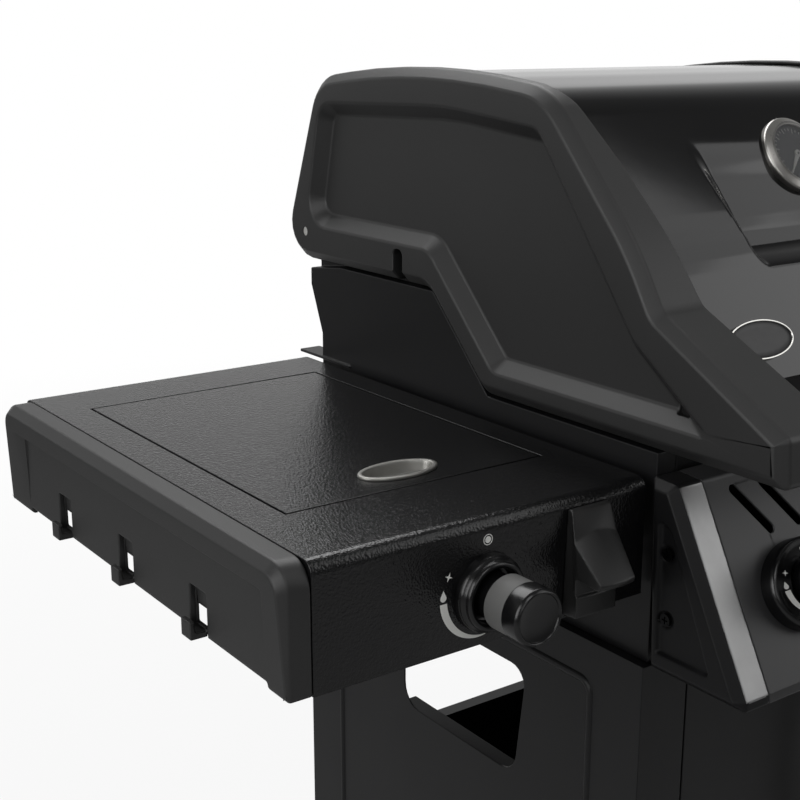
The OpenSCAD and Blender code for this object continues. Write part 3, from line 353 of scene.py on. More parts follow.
# %% Plated steel
plated, t, s, at = begin("nickel_plated_steel", "#c9c8c4", 0.16, Metallic=1.0)
haze = put(t, "ShaderNodeTexNoise", {"Vector": at, "Scale": 260.0, "Detail": 2.0})
blur = put(t, "ShaderNodeMapRange", {"Value": haze.outputs[0], "To Min": 0.12, "To Max": 0.24})
feed(s, "Roughness", blur)

# %% [markdown]
# The hinge pins are turned steel with a thick, dull zinc coat. It is paler and more
# even than the bright plating, since most of its light is scattered.

# %% Dull zinc coat
pin_zinc, t, s, at = begin("dull_zinc_coat_on_steel", "#cfcfcb", 0.5, Metallic=0.35)
bloom = put(t, "ShaderNodeTexNoise", {"Vector": at, "Scale": 400.0, "Detail": 2.0})
shade = put(t, "ShaderNodeMix", {0: bloom.outputs[0], 6: tone("#c4c4c0"), 7: tone("#dadad6")},
            data_type="RGBA")
feed(s, "Base Color", shade, 2)

# %% [markdown]
# The finger pull is die-cast zinc, blasted and lacquered to a pale, silky grey.

# %% Blasted zinc
zinc, t, s, at = begin("blasted_zinc_casting", "#9c9b97", 0.42, Metallic=0.85)
blast = put(t, "ShaderNodeTexNoise", {"Vector": at, "Scale": 1700.0, "Detail": 1.0})
bump = put(t, "ShaderNodeBump", {"Height": blast.outputs[0], "Strength": 0.4,
                                 "Distance": 0.04 * MM})
feed(s, "Normal", bump)
blur = put(t, "ShaderNodeMapRange", {"Value": blast.outputs[0], "To Min": 0.34, "To Max": 0.5})
feed(s, "Roughness", blur)

# %% [markdown]
# Cooking grates are cast iron with a thin matt black enamel. The sand mould leaves
# grains of about a millimetre that the enamel only half fills.

# %% Enamelled cast iron
iron, t, s, at = begin("enamelled_cast_iron", "#1b1a19", 0.5)
sand = put(t, "ShaderNodeTexNoise", {"Vector": at, "Scale": 900.0, "Detail": 3.0})
bump = put(t, "ShaderNodeBump", {"Height": sand.outputs[0], "Strength": 0.7, "Distance": 0.2 * MM})
feed(s, "Normal", bump)
blur = put(t, "ShaderNodeMapRange", {"Value": sand.outputs[0], "To Min": 0.38, "To Max": 0.6})
feed(s, "Roughness", blur)

# %% [markdown]
# Valves and burner caps are brass, turned and left bare, so it has dulled unevenly.

# %% Dull brass
brass, t, s, at = begin("dull_turned_brass", "#a5843f", 0.35, Metallic=1.0)
tarnish = put(t, "ShaderNodeTexNoise", {"Vector": at, "Scale": 120.0, "Detail": 4.0})
shade = put(t, "ShaderNodeMix", {0: tarnish.outputs[0], 6: tone("#b8954c"), 7: tone("#8a6c36")},
            data_type="RGBA")
feed(s, "Base Color", shade, 2)
blur = put(t, "ShaderNodeMapRange", {"Value": tarnish.outputs[0], "To Min": 0.25, "To Max": 0.5})
feed(s, "Roughness", blur)

# %% [markdown]
# Knobs are moulded in glossy black ABS, their bezels in a slightly duller one.
# Moulded plastic takes the polish of its mould, so only hair-fine marks show.

# %% Moulded plastics
gloss_abs, t, s, at = begin("gloss_moulded_abs", "#0b0b0c", 0.14)
hair = put(t, "ShaderNodeTexNoise", {"Vector": at, "Scale": 60.0, "Detail": 5.0})
blur = put(t, "ShaderNodeMapRange", {"Value": hair.outputs[0], "To Min": 0.2, "To Max": 0.3})
feed(s, "Roughness", blur)
satin_abs, t, s, at = begin("satin_moulded_abs", "#101011", 0.3)
hair = put(t, "ShaderNodeTexNoise", {"Vector": at, "Scale": 240.0, "Detail": 3.0})
blur = put(t, "ShaderNodeMapRange", {"Value": hair.outputs[0], "To Min": 0.32, "To Max": 0.44})
feed(s, "Roughness", blur)
bump = put(t, "ShaderNodeBump", {"Height": hair.outputs[0], "Strength": 0.2,
                                 "Distance": 0.05 * MM})
feed(s, "Normal", bump)

# %% [markdown]
# The bottle opener is a zinc casting under a thick black lacquer: darker and
# smoother than powder coat, it keeps clear highlights along its ridges.

# %% Black lacquer
lacquer, t, s, at = begin("black_lacquer_on_zinc_casting", "#191919", 0.42)
sag = put(t, "ShaderNodeTexNoise", {"Vector": at, "Scale": 300.0, "Detail": 2.0})
blur = put(t, "ShaderNodeMapRange", {"Value": sag.outputs[0], "To Min": 0.38, "To Max": 0.48})
feed(s, "Roughness", blur)
bump = put(t, "ShaderNodeBump", {"Height": sag.outputs[0], "Strength": 0.2, "Distance": 0.05 * MM})
feed(s, "Normal", bump)

# %% [markdown]
# The thermometer: a grey anodised dial, a white needle and a clear glass. A thin
# flat glass does not bend the view of the dial, so it can be a see-through gloss,
# which lets the lamps reach the dial.

# %% Thermometer finishes
dial_grey, t, s, at = begin("grey_printed_dial", "#5a5c5e", 0.45)
speck = put(t, "ShaderNodeTexNoise", {"Vector": at, "Scale": 900.0, "Detail": 2.0})
shade = put(t, "ShaderNodeMix", {0: speck.outputs[0], 6: tone("#55575a"), 7: tone("#606265")},
            data_type="RGBA")
feed(s, "Base Color", shade, 2)
white_print, t, s, at = begin("white_screen_print", "#dcdcd8", 0.5)
ink = put(t, "ShaderNodeTexNoise", {"Vector": at, "Scale": 1500.0, "Detail": 2.0})
shade = put(t, "ShaderNodeMix", {0: ink.outputs[0], 6: tone("#cfcfcb"), 7: tone("#e8e8e4")},
            data_type="RGBA")
feed(s, "Base Color", shade, 2)
glass, t, s, at = begin("clear_lens_glass", "#0c0d0e", 0.02, Alpha=0.3, IOR=1.5)
smudge = put(t, "ShaderNodeTexNoise", {"Vector": at, "Scale": 70.0, "Detail": 4.0})
blur = put(t, "ShaderNodeMapRange", {"Value": smudge.outputs[0], "To Min": 0.01, "To Max": 0.08})
feed(s, "Roughness", blur)

# %% [markdown]
# The feet are nylon, the wheels moulded polypropylene with a coarser, duller skin.

# %% Feet and wheels
rough_plastic, t, s, at = begin("moulded_polypropylene", "#161617", 0.5)
skin = put(t, "ShaderNodeTexVoronoi", {"Vector": at, "Scale": 1100.0})
bump = put(t, "ShaderNodeBump", {"Height": skin.outputs[0], "Strength": 0.35,
                                 "Distance": 0.1 * MM})
feed(s, "Normal", bump)
scuff = put(t, "ShaderNodeTexNoise", {"Vector": at, "Scale": 30.0, "Detail": 4.0})
blur = put(t, "ShaderNodeMapRange", {"Value": scuff.outputs[0], "To Min": 0.42, "To Max": 0.62})
feed(s, "Roughness", blur)

# %% [markdown]
# Every sub-part now gets its finish. A sub-part that is remade further on keeps
# its solid only for the moving model.

# %% Dress the sub-parts
finishes = {
    enamel: "hood_skin",
    casting: "hood_end_left hood_end_right hood_handle shelf_end_left shelf_end_right "
             "name_plate",
    lacquer: "bottle_opener",
    # painted shade: the panel's ends in a darker copy of their casting paint
    shaded_end_paint: "control_end_left control_end_right",
    black_oxide: "panel_screws",
    wrinkle: "shelf_left shelf_right side_cover",
    satin: "firebox_side_left firebox_side_right firebox_pan grease_tray side_bowl frame_left "
           "frame_right cart_deck rear_panel front_rail door_left door_right side_gas_pipe "
           "gas_manifold",
    panel_paint: "control_panel",
    brushed: "gauge_housing burner_left burner_centre burner_right heat_plates grease_cup "
             "door_handle_left door_handle_right",
    pin_zinc: "hinge_pins",
    plated: "warming_rack stem_left stem_centre stem_right stem_side axle",
    zinc: "cover_pull",
    iron: "cooking_grates side_grate",
    brass: "gas_valves side_burner",
    gloss_abs: "knob_left knob_centre knob_right knob_side",
    satin_abs: "knob_bezels",
    dial_grey: "gauge_dial",
    white_print: "gauge_needle",
    glass: "gauge_glass",
    rough_plastic: "feet wheel_front wheel_rear",
}
for finish, names in finishes.items():
    for name in names.split():
        nodes[name].data.materials.clear()
        nodes[name].data.materials.append(finish)
dressed = {n for names in finishes.values() for n in names.split()}
print("dressed:", len(dressed), "left:", set(nodes) - dressed)

# %% [markdown]
# Castings, pressings and mouldings never have knife edges: sand, dies and paint all
# round them by a millimetre or two, and that small radius is what catches the light.
# The surest way to round a whole casting is to weld a copy of its solid, clear its
# flat faces of their inner triangles, and bevel each edge that turns sharply. The
# copy then stands for the sub-part. In the hood's ends the hole for the hinge pin is
# closed before the bevel and drilled again after it, so its wall stays clean.

# %% Rounded copies of the solids
def rest():
    """Leaves edit mode, with nothing selected."""
    if bpy.context.object and bpy.context.object.mode != "OBJECT":
        bpy.ops.object.mode_set(mode="OBJECT")
    bpy.ops.object.select_all(action="DESELECT")


def take(piece):
    """Makes one piece the active one, and the only one selected."""
    rest()
    bpy.context.view_layer.objects.active = piece
    piece.select_set(True)


def apply_all(piece):
    """Applies the piece's modifiers in order."""
    take(piece)
    for name in [m.name for m in piece.modifiers]:
        bpy.ops.object.modifier_apply(modifier=name)


def level(piece, angle=32):
    """Smooth shading in which the large faces stay flat and the small ones bend."""
    take(piece)
    bpy.ops.object.shade_smooth_by_angle(angle=math.radians(angle))
    weigh = piece.modifiers.new("weigh", "WEIGHTED_NORMAL")
    weigh.keep_sharp, weigh.weight = True, 100
    apply_all(piece)


def plug(piece, y, z, reach):
    """Closes the hole along x at y, z, so the faces round it are whole, and says where it ran."""
    mesh = bmesh.new()
    mesh.from_mesh(piece.data)
    wall = [f for f in mesh.faces
            if all(math.hypot(v.co.y - y, v.co.z - z) < reach for v in f.verts)]
    ends = [v.co.x for f in wall for v in f.verts]
    bore = max(math.hypot(v.co.y - y, v.co.z - z) for f in wall for v in f.verts)
    bmesh.ops.delete(mesh, geom=wall, context="FACES")
    bmesh.ops.holes_fill(mesh, edges=[e for e in mesh.edges if e.is_boundary], sides=0)
    bmesh.ops.recalc_face_normals(mesh, faces=mesh.faces)
    mesh.to_mesh(piece.data)
    mesh.free()
    return min(ends), max(ends), bore


def drill(piece, y, z, left, right, bore):
    """Cuts a round hole along x through the piece."""
    rest()
    bpy.ops.mesh.primitive_cylinder_add(vertices=48, radius=bore, depth=right - left + 2 * MM,
                                        location=((left + right) / 2, y, z),
                                        rotation=(0, math.pi / 2, 0))
    bit = bpy.context.object
    hole = piece.modifiers.new("hole", "BOOLEAN")
    hole.operation, hole.solver, hole.object = "DIFFERENCE", "MANIFOLD", bit
    apply_all(piece)
    bpy.data.objects.remove(bit)


def welded(node, ending):
    """A copy of a sub-part's solid with its corners welded, left in edit mode."""
    piece = bpy.data.objects.new(node + ending, nodes[node].data.copy())
    scene.collection.objects.link(piece)
    take(piece)
    bpy.ops.object.mode_set(mode="EDIT")
    bpy.ops.mesh.select_all(action="SELECT")
    bpy.ops.mesh.remove_doubles(threshold=0.00001)
    return piece


def melted(piece, cell, passes):
    """Rebuilds a piece from cells of so many mm and relaxes it so many times."""
    cells = piece.modifiers.new("cells", "REMESH")
    cells.mode, cells.voxel_size = "VOXEL", cell * MM
    relax = piece.modifiers.new("relax", "SMOOTH")
    relax.factor, relax.iterations = 0.5, passes
    apply_all(piece)
    bpy.ops.object.shade_smooth()


def rounded(node, radius, steps=3, angle=30, sharp_near=(), drilled=None):
    """A welded copy of a sub-part with its edges rounded to radius mm, but not near given
    places. A hole at drilled is closed before the rounding and cut again after it."""
    piece = welded(node, "_rounded")
    if drilled:
        bpy.ops.object.mode_set(mode="OBJECT")
        left, right, bore = plug(piece, *drilled)
        print(node, "bored from", round(left, 4), "to", round(right, 4), "radius", round(bore, 5))
        bpy.ops.object.mode_set(mode="EDIT")
        bpy.ops.mesh.select_all(action="SELECT")
    bpy.ops.mesh.dissolve_limited(angle_limit=math.radians(0.5))
    bpy.ops.mesh.quads_convert_to_tris(quad_method="BEAUTY", ngon_method="BEAUTY")
    bpy.ops.object.mode_set(mode="OBJECT")
    bpy.ops.mesh.customdata_custom_splitnormals_clear()
    mesh = bmesh.new()
    mesh.from_mesh(piece.data)
    weight = mesh.edges.layers.float.new("bevel_weight_edge")
    for e in mesh.edges:
        turns = len(e.link_faces) == 2 and e.calc_face_angle() > math.radians(angle)
        clear = all(math.hypot(v.co.y - y, v.co.z - z) > r
                    for v in e.verts for y, z, r in sharp_near)
        e[weight] = 1.0 if turns and clear else 0.0
    mesh.to_mesh(piece.data)
    mesh.free()
    edge = piece.modifiers.new("edge", "BEVEL")
    edge.width, edge.segments, edge.use_clamp_overlap = radius * MM, steps, False
    edge.limit_method, edge.miter_outer = "WEIGHT", "MITER_ARC"
    apply_all(piece)
    if drilled:
        drill(piece, *drilled[:2], left, right, bore)
    level(piece)
    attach(piece, body_of(nodes[node])[0])
    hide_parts(node)
    return piece


radii = {1.8: "hood_end_left hood_end_right",
         1.5: "shelf_end_left shelf_end_right",
         1.2: "firebox_side_left firebox_side_right",
         0.9: "control_panel frame_left frame_right front_rail door_left door_right",
         0.6: "shelf_left shelf_right side_cover cart_deck"}
joints = {j["name"]: j for j in frame["record"]["behaviour"]["joints"]}
pin = Vector(joints["hood_hinge"]["pos_m"])
print("hinge pin at", [round(v, 4) for v in pin])
at_pin = (pin.y, pin.z, 0.008)
for radius, names in radii.items():
    for name in names.split():
        if name.startswith("hood_end"):
            piece = rounded(name, radius, drilled=at_pin)
        else:
            piece = rounded(name, radius, sharp_near=[at_pin])
        print(name, len(piece.data.polygons), "faces")

# %% [markdown]
# The control panel's ends have a pocket, screw holes and a hollow, and their edges
# meet at angles that a bevel cannot follow. They are cast in wax instead, so to
# say: the solid is rebuilt from a fine grid of cells, and then the surface is
# relaxed a few times, which melts each edge by about a millimetre.

# %% Softened castings
panel_out = Vector((0, -0.8839, 0.4677)).normalized()
for name in ("control_end_left", "control_end_right"):
    piece = welded(name, "_cast")
    bpy.ops.object.mode_set(mode="OBJECT")
    bpy.ops.mesh.customdata_custom_splitnormals_clear()
    melted(piece, 0.9, 5)
    # Faces turned to the front get the lighter copy, a painted sheen; the rest keep the darker
    # copy, a painted shade.
    piece.data.materials.append(sheen_end_paint)
    for f in piece.data.polygons:
        if f.normal.dot(panel_out) > 0.96:
            f.material_index = 1
    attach(piece, body_of(nodes[name])[0])
    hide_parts(name)
    print(name, len(piece.data.polygons), "faces")

# %% [markdown]
# New pieces are drawn like a wire first: one vertex, extruded from point to point
# along the outline. Corners are given with a radius, as on a drawing, and the helper
# turns each into a short arc. The wire then becomes a sheet or a turned part.

# %% Wires, sheets and turned parts
shelf_front, shelf_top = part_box("shelf_left")[0].y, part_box("shelf_left")[1].z


def spot(x, y, z):
    """A point x mm from the middle, y mm behind the shelves' fronts, z mm over their tops."""
    return Vector((x * MM, shelf_front + y * MM, shelf_top + z * MM))


def arc_line(corners, turn=9, closed=False):
    """Flat points (a, b) along corners (a, b, radius), with an arc step each few degrees."""
    points, count = [], len(corners)
    for k, (a, b, radius) in enumerate(corners):
        here = Vector((a, b))
        if radius == 0 or (not closed and k in (0, count - 1)):
            points.append(here)
            continue
        back = (Vector(corners[k - 1][:2]) - here).normalized()
        ahead = (Vector(corners[(k + 1) % count][:2]) - here).normalized()
        half = back.angle(ahead) / 2
        middle = here + (back + ahead).normalized() * (radius / math.sin(half))
        start = here + back * (radius / math.tan(half)) - middle
        swing = start.angle_signed(here + ahead * (radius / math.tan(half)) - middle)
        steps = max(2, round(abs(math.degrees(swing)) / turn))
        for n in range(steps + 1):
            points.append(middle + Matrix.Rotation(-swing * n / steps, 2) @ start)
    return points


def wire(name, points):
    """A new piece, left in edit mode: one vertex extruded along the points."""
    rest()
    bpy.ops.mesh.primitive_plane_add(size=MM)
    piece = bpy.context.object
    piece.name = piece.data.name = name
    bpy.ops.object.mode_set(mode="EDIT")
    bpy.ops.mesh.merge(type="CENTER")
    bpy.ops.transform.translate(value=points[0])
    for a, b in zip(points, points[1:]):
        bpy.ops.mesh.extrude_vertices_move(TRANSFORM_OT_translate={"value": Vector(b) - Vector(a)})
    bpy.ops.mesh.select_all(action="SELECT")
    return piece


def done(piece, finish, body, *stands_for):
    """Dresses a new piece, lets it ride on its body, and hides what it stands for."""
    rest()
    piece.data.materials.clear()
    piece.data.materials.append(finish)
    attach(piece, body)
    if stands_for:
        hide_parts(*stands_for)
    print(piece.name, len(piece.data.polygons), "faces")
    return piece


def turned(name, profile, centre, outward, steps=72, angle=30):
    """A turned part: a wire of (radius, height) in mm, spun once round an axis."""
    side = Vector((1, 0, 0))
    piece = wire(name, [centre + side * r * MM + outward * h * MM for r, h in profile])
    bpy.ops.mesh.spin(steps=steps, angle=2 * math.pi, center=centre, axis=outward)
    bpy.ops.mesh.select_all(action="SELECT")
    bpy.ops.mesh.remove_doubles(threshold=0.000002)
    bpy.ops.mesh.normals_make_consistent(inside=False)
    bpy.ops.object.mode_set(mode="OBJECT")
    bpy.ops.object.shade_smooth_by_angle(angle=math.radians(angle))
    return piece


# %% [markdown]
# The hood's skin is one sheet of steel, bent over the crown and pressed inwards at
# the front, where the thermometer sits. The pressing is flush at its top edge and
# deepest at its foot, which makes a small ledge. Its wire follows the side view, is
# pulled out sideways in steps that are closer where the pressing's walls stand, and
# then each vertex is pushed in by the pressing's depth at its place. A sheet drawn
# this way keeps one smooth surface, which mirror-like enamel needs.

# %% Pressed hood skin
skin_lo, skin_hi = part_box("hood_skin")
skin_half = skin_hi.x / MM
knee, bend, crest, nape = (2, 125), (29, 169), 294, (471.4, 281.8)
low = (bend[0] - knee[0]) / (bend[1] - knee[1])
high = math.tan(math.radians(42.2))
foot_z = (skin_lo.z - shelf_top) / MM
brow = (bend[0] + (nape[1] - bend[1]) * high, nape[1])
shelf_depth, start_z = 495, foot_z - 40
back_foot = (shelf_depth + 47.6, 101)
slope_foot = (bend[0] + (start_z - bend[1]) * low, start_z)
line = arc_line([(*slope_foot, 0), (*bend, 280), (*brow, 68), (290, crest + 8, 1080), (*nape, 45),
                 (*back_foot, 0)], turn=2.5)
dense = []
for a, b in zip(line, line[1:]):
    parts = max(1, math.ceil((b - a).length / (2.2 if a.x < 100 else 14)))
    dense += [a.lerp(b, n / parts) for n in range(parts)]
dense.append(line[-1])
inner = []  # the casting's wall lies 4 mm outside the skin
for k, p in enumerate(dense):
    along = dense[min(k + 1, len(dense) - 1)] - dense[max(k - 1, 0)]
    inner.append(p + Vector((along.y, -along.x)).normalized() * 4)
mid_y, back_z = 250, 141
kept = [p for p in inner
        if not (p.x < mid_y and p.y < foot_z) and not (p.x > mid_y and p.y < back_z)]
skin = wire("hood_skin_pressed", [spot(-skin_half, p.x, p.y) for p in kept])
edges_x = [-skin_half]
while edges_x[-1] < skin_half - 0.01:
    near = abs(abs(edges_x[-1] + 1) - 108) < 28
    edges_x.append(min(skin_half, edges_x[-1] + (2.0 if near else 7.0)))
for a, b in zip(edges_x, edges_x[1:]):
    bpy.ops.mesh.extrude_region_move(TRANSFORM_OT_translate={"value": ((b - a) * MM, 0, 0)})
bpy.ops.mesh.select_all(action="SELECT")
bpy.ops.mesh.normals_make_consistent(inside=False)
bpy.ops.object.mode_set(mode="OBJECT")
print("skin", len(skin.data.vertices), "vertices, rows", len(kept))

# %% [markdown]
# The pressed field has sloping side walls and a rounded foot. Each vertex of the
# sheet goes in by a depth that grows downwards and eases off near the outline, and
# only then does the sheet get its thickness.

# %% Press the field into the skin
field_top, field_low, field_foot = 243, 158, 143.5
outline = [Vector(p) for p in [(-125, field_top), (-112, field_low), *arc_line(
    [(-111, 156, 0), (-107, field_foot, 19), (-80, field_foot, 0)], turn=8)]]
outline = outline + [Vector((-p.x, p.y)) for p in reversed(outline)]


def inside(x, z):
    """How far, in mm, a place of the front lies inside the pressing's outline."""
    here, far, turns = Vector((x, z)), 1e9, 0
    for a, b in zip(outline, outline[1:] + outline[:1]):
        side = b - a
        t = max(0, min(1, (here - a).dot(side) / side.length_squared))
        far = min(far, (here - a - side * t).length)
        if (a.y > z) != (b.y > z) and x < a.x + (z - a.y) * side.x / side.y:
            turns += 1
    return far if turns % 2 else -far


def ease(t):
    """0 to 1 with a soft start and a soft end."""
    t = max(0.0, min(1.0, t))
    return t * t * (3 - 2 * t)


deepest, side_wall, foot_wall = 12, 13, 20
outward = [v.normal.copy() for v in skin.data.vertices]
for v, normal in zip(skin.data.vertices, outward):
    x, y, z = v.co.x / MM, (v.co.y - shelf_front) / MM, (v.co.z - shelf_top) / MM
    if y > 140 or not field_foot - 1 < z < field_top + 1:
        continue
    fallen = max(0, (field_top - z) / (field_top - field_low))
    floor_depth = min(deepest, 15 * fallen * ease(fallen / 0.4))
    climb = max(0, min(1, (inside(x, z) + 1) / side_wall, (z - field_foot) / foot_wall))
    v.co -= normal * (floor_depth * (0.4 * ease(climb) + 0.6 * climb) * MM)
solid = skin.modifiers.new("sheet", "SOLIDIFY")
solid.thickness, solid.offset = 2 * MM, -1
apply_all(skin)
bpy.ops.object.shade_smooth_by_angle(angle=math.radians(40))
done(skin, enamel, "hood", "hood_skin")

# %% [markdown]
# A burner knob is moulded in three parts: a glossy body with a narrow neck, a grey
# grip band pushed over it, and a thick cap with a rounded rim and a dished face. All
# of it is round, so each part is one outline spun about the knob's axis. The four
# knobs are alike; three sit on the sloping panel and one on the shelf's front.

# %% Knobs
shelf_out = Vector((0, -1, 0))
panel_y, panel_z = -70.3716, -87.2346
knob_at = {k: (spot(x, panel_y, panel_z), panel_out)
           for k, x in {"left": -146, "centre": 0, "right": 146}.items()}
knob_at["side"] = (spot(-401, 0, -55), shelf_out)
body_line = [(0, 5), (15.5, 5), (17, 6), (17, 19.5), (18.6, 20.3), (18.9, 20.8), (18.9, 40.2),
             (20.4, 40.4), (20.9, 40.8), (21, 41.6), (21, 53.6), (20.85, 54.4), (20.2, 55.5),
             (19.5, 56.4), (18.9, 56.9), (18.3, 57), (17.8, 56.8), (17.4, 56.2), (17.1, 55.6),
             (16.6, 55.4), (8, 54.9), (0, 54.7)]
band_line = [(18.7, 20.9), (19.9, 20.9), (20.3, 21.4), (20.4, 22), (20.4, 38.8), (20.3, 39.6),
             (19.9, 40.1), (18.7, 40.1)]
for name, (centre, out) in knob_at.items():
    knob = turned("knob_" + name + "_body", body_line, centre, out, angle=38)
    done(knob, gloss_abs, "knob_" + name, "knob_" + name)
    band = turned("knob_" + name + "_grip", band_line, centre, out, angle=38)
    done(band, grip, "knob_" + name)

# %% [markdown]
# Each knob turns in a fixed bezel. The shelf's is a stepped glossy collar; those on
# the panel are wider ovals with a dished face that carries the printed signs.

# %% Bezels
side_line = [(5, 0.2), (5, 0.5), (20, 0.5), (20.6, 1), (20.6, 10), (21.2, 11.6), (22.2, 12.6),
             (23.6, 13), (24.8, 12.6), (25.6, 11.4), (26, 9.6), (26.4, 8.2), (27.6, 7),
             (28.4, 5.6), (28.8, 3.6), (29, 0.2)]
panel_line = [(5, 0.2), (5, 0.5), (20, 0.5), (20.6, 1), (20.6, 8), (21.2, 9.6), (22.4, 10),
              (29, 10.6), (31.5, 12), (33, 13.2), (34, 13.6), (35, 13), (35.7, 11.6), (36, 9),
              (36, 0.2)]


def widened(x, radius):
    """The oval bezels: nothing at the bore, a quarter wider at the rim."""
    return x * (1 + 0.24 * min(1, max(0, (radius - 20.6) / 15.4)))


for name, (centre, out) in knob_at.items():
    line = side_line if name == "side" else panel_line
    collar = turned("bezel_" + name, line + line[:1], centre, out, steps=96, angle=50)
    if name != "side":
        for v in collar.data.vertices:
            off = v.co - centre
            off -= out * off.dot(out)
            v.co.x = centre.x + widened(off.x, off.length / MM)
    done(collar, gloss_abs, "stand", *(["knob_bezels"] if name == "side" else []))

# %% [markdown]
# The signs are screen-printed: a ringed dot for off, a spark for the igniter, a drop
# for the gas and a tapering sweep from high to low. Print has almost no thickness,
# so each sign is a flat outline, filled and raised a tenth of a millimetre.

# %% Printed signs
def printed(name, outline, centre, out):
    """A flat sign: the outline's (right, up) mm on the plane through centre facing out."""
    right = Vector((1, 0, 0))
    up = out.cross(right) * -1
    if up.z < 0:
        up = -up
    points = [centre + right * a * MM + up * b * MM for a, b in outline]
    sign = wire(name, points + points[:1])
    bpy.ops.mesh.remove_doubles(threshold=0.000002)
    bpy.ops.mesh.edge_face_add()
    bpy.ops.mesh.extrude_region_move(TRANSFORM_OT_translate={"value": out * 0.12 * MM})
    bpy.ops.mesh.select_all(action="SELECT")
    bpy.ops.mesh.normals_make_consistent(inside=False)
    bpy.ops.object.mode_set(mode="OBJECT")
    return sign


def clock(degrees, radius):
    """A point at this many degrees past twelve o'clock."""
    return radius * math.sin(math.radians(degrees)), radius * math.cos(math.radians(degrees))


def shifted(shape, size, move):
    """The shape at another size, then moved."""
    return [(a * size + move[0], b * size + move[1]) for a, b in shape]


round_dot = [clock(t, 2.5) for t in range(0, 360, 12)]
spark = [clock(t, (3.4, 1.0)[k % 2]) for k, t in enumerate(range(20, 380, 45))]
drop = [(0, 4.6)] + [(2.6 * math.sin(math.radians(t)), -1.2 - 2.6 * math.cos(math.radians(t)))
                     for t in range(110, -111, -20)]
sweep_at = [(-90 - 88 * k / 24, k / 24) for k in range(25)]
sweep = ([clock(t, 41.5 - 10 * k ** 1.3) for t, k in sweep_at]
         + [clock(t, 35.5 - 4.6 * k) for t, k in reversed(sweep_at)])
for name, (centre, out) in knob_at.items():
    base, ring = (centre, 39) if name == "side" else (centre + out * 10.75 * MM, 26.5)
    small = 1 if name == "side" else 0.7
    signs = {"dot": shifted(round_dot, small, clock(0, ring)),
             "spark": shifted(spark, small, clock(-61, ring)),
             "drop": shifted(drop, small, clock(-82, ring)),
             "sweep": [(a * ring / 39, b * ring / 39) for a, b in sweep]}
    for kind, outline_of in signs.items():
        if name != "side":
            outline_of = [(widened(a, math.hypot(a, b)), b) for a, b in outline_of]
        sign = printed("sign_" + kind + "_" + name, outline_of, base, out)
        done(sign, white_print, "stand")
    if name == "side":
        halo_line = [(3.5, 0), (4.1, 0), (4.1, 0.12), (3.5, 0.12), (3.5, 0)]
        halo = turned("sign_halo_side", halo_line, base + Vector((0, 0, 1)) * (ring * MM), out)
        done(halo, white_print, "stand")

# %% [markdown]
# The lid thermometer has a low conical ring of brushed steel round a grey dial. The
# ring is spun; the dial keeps its solid. Ticks are printed round three quarters of the dial.

# %% Thermometer
glass_lo, glass_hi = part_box("gauge_glass")
gauge_tilt = math.radians(33.8379)
gauge_out = Vector((0, -math.cos(gauge_tilt), math.sin(gauge_tilt)))
gauge_mid = (glass_lo + glass_hi) / 2 - gauge_out * 9.4 * MM
ring_line = [(27.4, 5.2), (27.4, 8.2), (27.7, 8.9), (28.4, 9.2), (34.5, 6.7), (35.4, 6.2),
             (35.9, 5.4), (36, 4.6), (36, 0.2), (20, 0.2), (20, 4.9), (27.4, 4.9)]
ring = turned("gauge_ring", ring_line + ring_line[:1], gauge_mid, gauge_out, steps=96, angle=45)
done(ring, brushed, "hood", "gauge_housing")
for k in range(28):
    turn, long = math.radians(-135 + 10 * k), (4.5 if k % 3 == 0 else 2.4)
    tick = [(math.sin(turn) * r + math.cos(turn) * w, math.cos(turn) * r - math.sin(turn) * w)
            for r, w in ((25, -0.35), (25, 0.35), (25 - long, 0.35), (25 - long, -0.35))]
    mark = printed("gauge_tick_%02d" % k, tick, gauge_mid + gauge_out * 6.02 * MM, gauge_out)
    done(mark, white_print, "hood")

# %% [markdown]
# The bottle opener is a small die-cast hood on the shelf's front. Its outline runs
# from a flat plate over a ridge to a slanted face, ends in a lip over the cavity
# that grips the cap, and returns to the mount. Each point of it is pulled sideways
# in steps; then the casting is narrowed towards its top and its lip, and its middle
# is raised, so the ridge becomes an arch. Last, it is melted like the panel's ends.

# %% Bottle opener
opener_mid, opener_half = -308.5, 21.5
side_view = arc_line([(0, -90, 0), (0, -9, 0), (-5, -9, 2), (-11, -31, 2.5), (-35.5, -58, 1.6),
                      (-34.5, -62, 1.2), (-28, -62, 1), (-12, -59, 2), (-12, -72, 1),
                      (-14, -74, 1), (-14, -90, 0)], turn=18)
opener = wire("opener_hood",
              [spot(opener_mid - opener_half, p.x, p.y) for p in side_view + side_view[:1]])
bpy.ops.mesh.remove_doubles(threshold=0.000002)
bpy.ops.mesh.edge_face_add()
steps = 16
stride = 2 * opener_half * MM / steps
for k in range(steps):
    bpy.ops.mesh.extrude_region_move(TRANSFORM_OT_translate={"value": (stride, 0, 0)})
bpy.ops.mesh.select_all(action="SELECT")
bpy.ops.mesh.remove_doubles(threshold=0.000002)
bpy.ops.mesh.normals_make_consistent(inside=False)
bpy.ops.object.mode_set(mode="OBJECT")
for v in opener.data.vertices:
    y, z = (v.co.y - shelf_front) / MM, (v.co.z - shelf_top) / MM
    across = (v.co.x / MM - opener_mid) / opener_half
    hump = 1 - across * across
    reach = min(1, max(0, -y / 36))
    near_top = min(1, max(0, (z + 31) / 22))
    narrowed = 1 - 0.13 * near_top - 0.2 * reach * (z < -33)
    v.co.x = (opener_mid + across * opener_half * narrowed) * MM
    if y < -9 and -75 < z:
        v.co.z += 8 * hump * (1 - 0.75 * reach) * MM * (z > -57)
        v.co.y -= 2.5 * hump * reach * MM
melted(opener, 0.7, 7)
done(opener, lacquer, "stand", "bottle_opener")

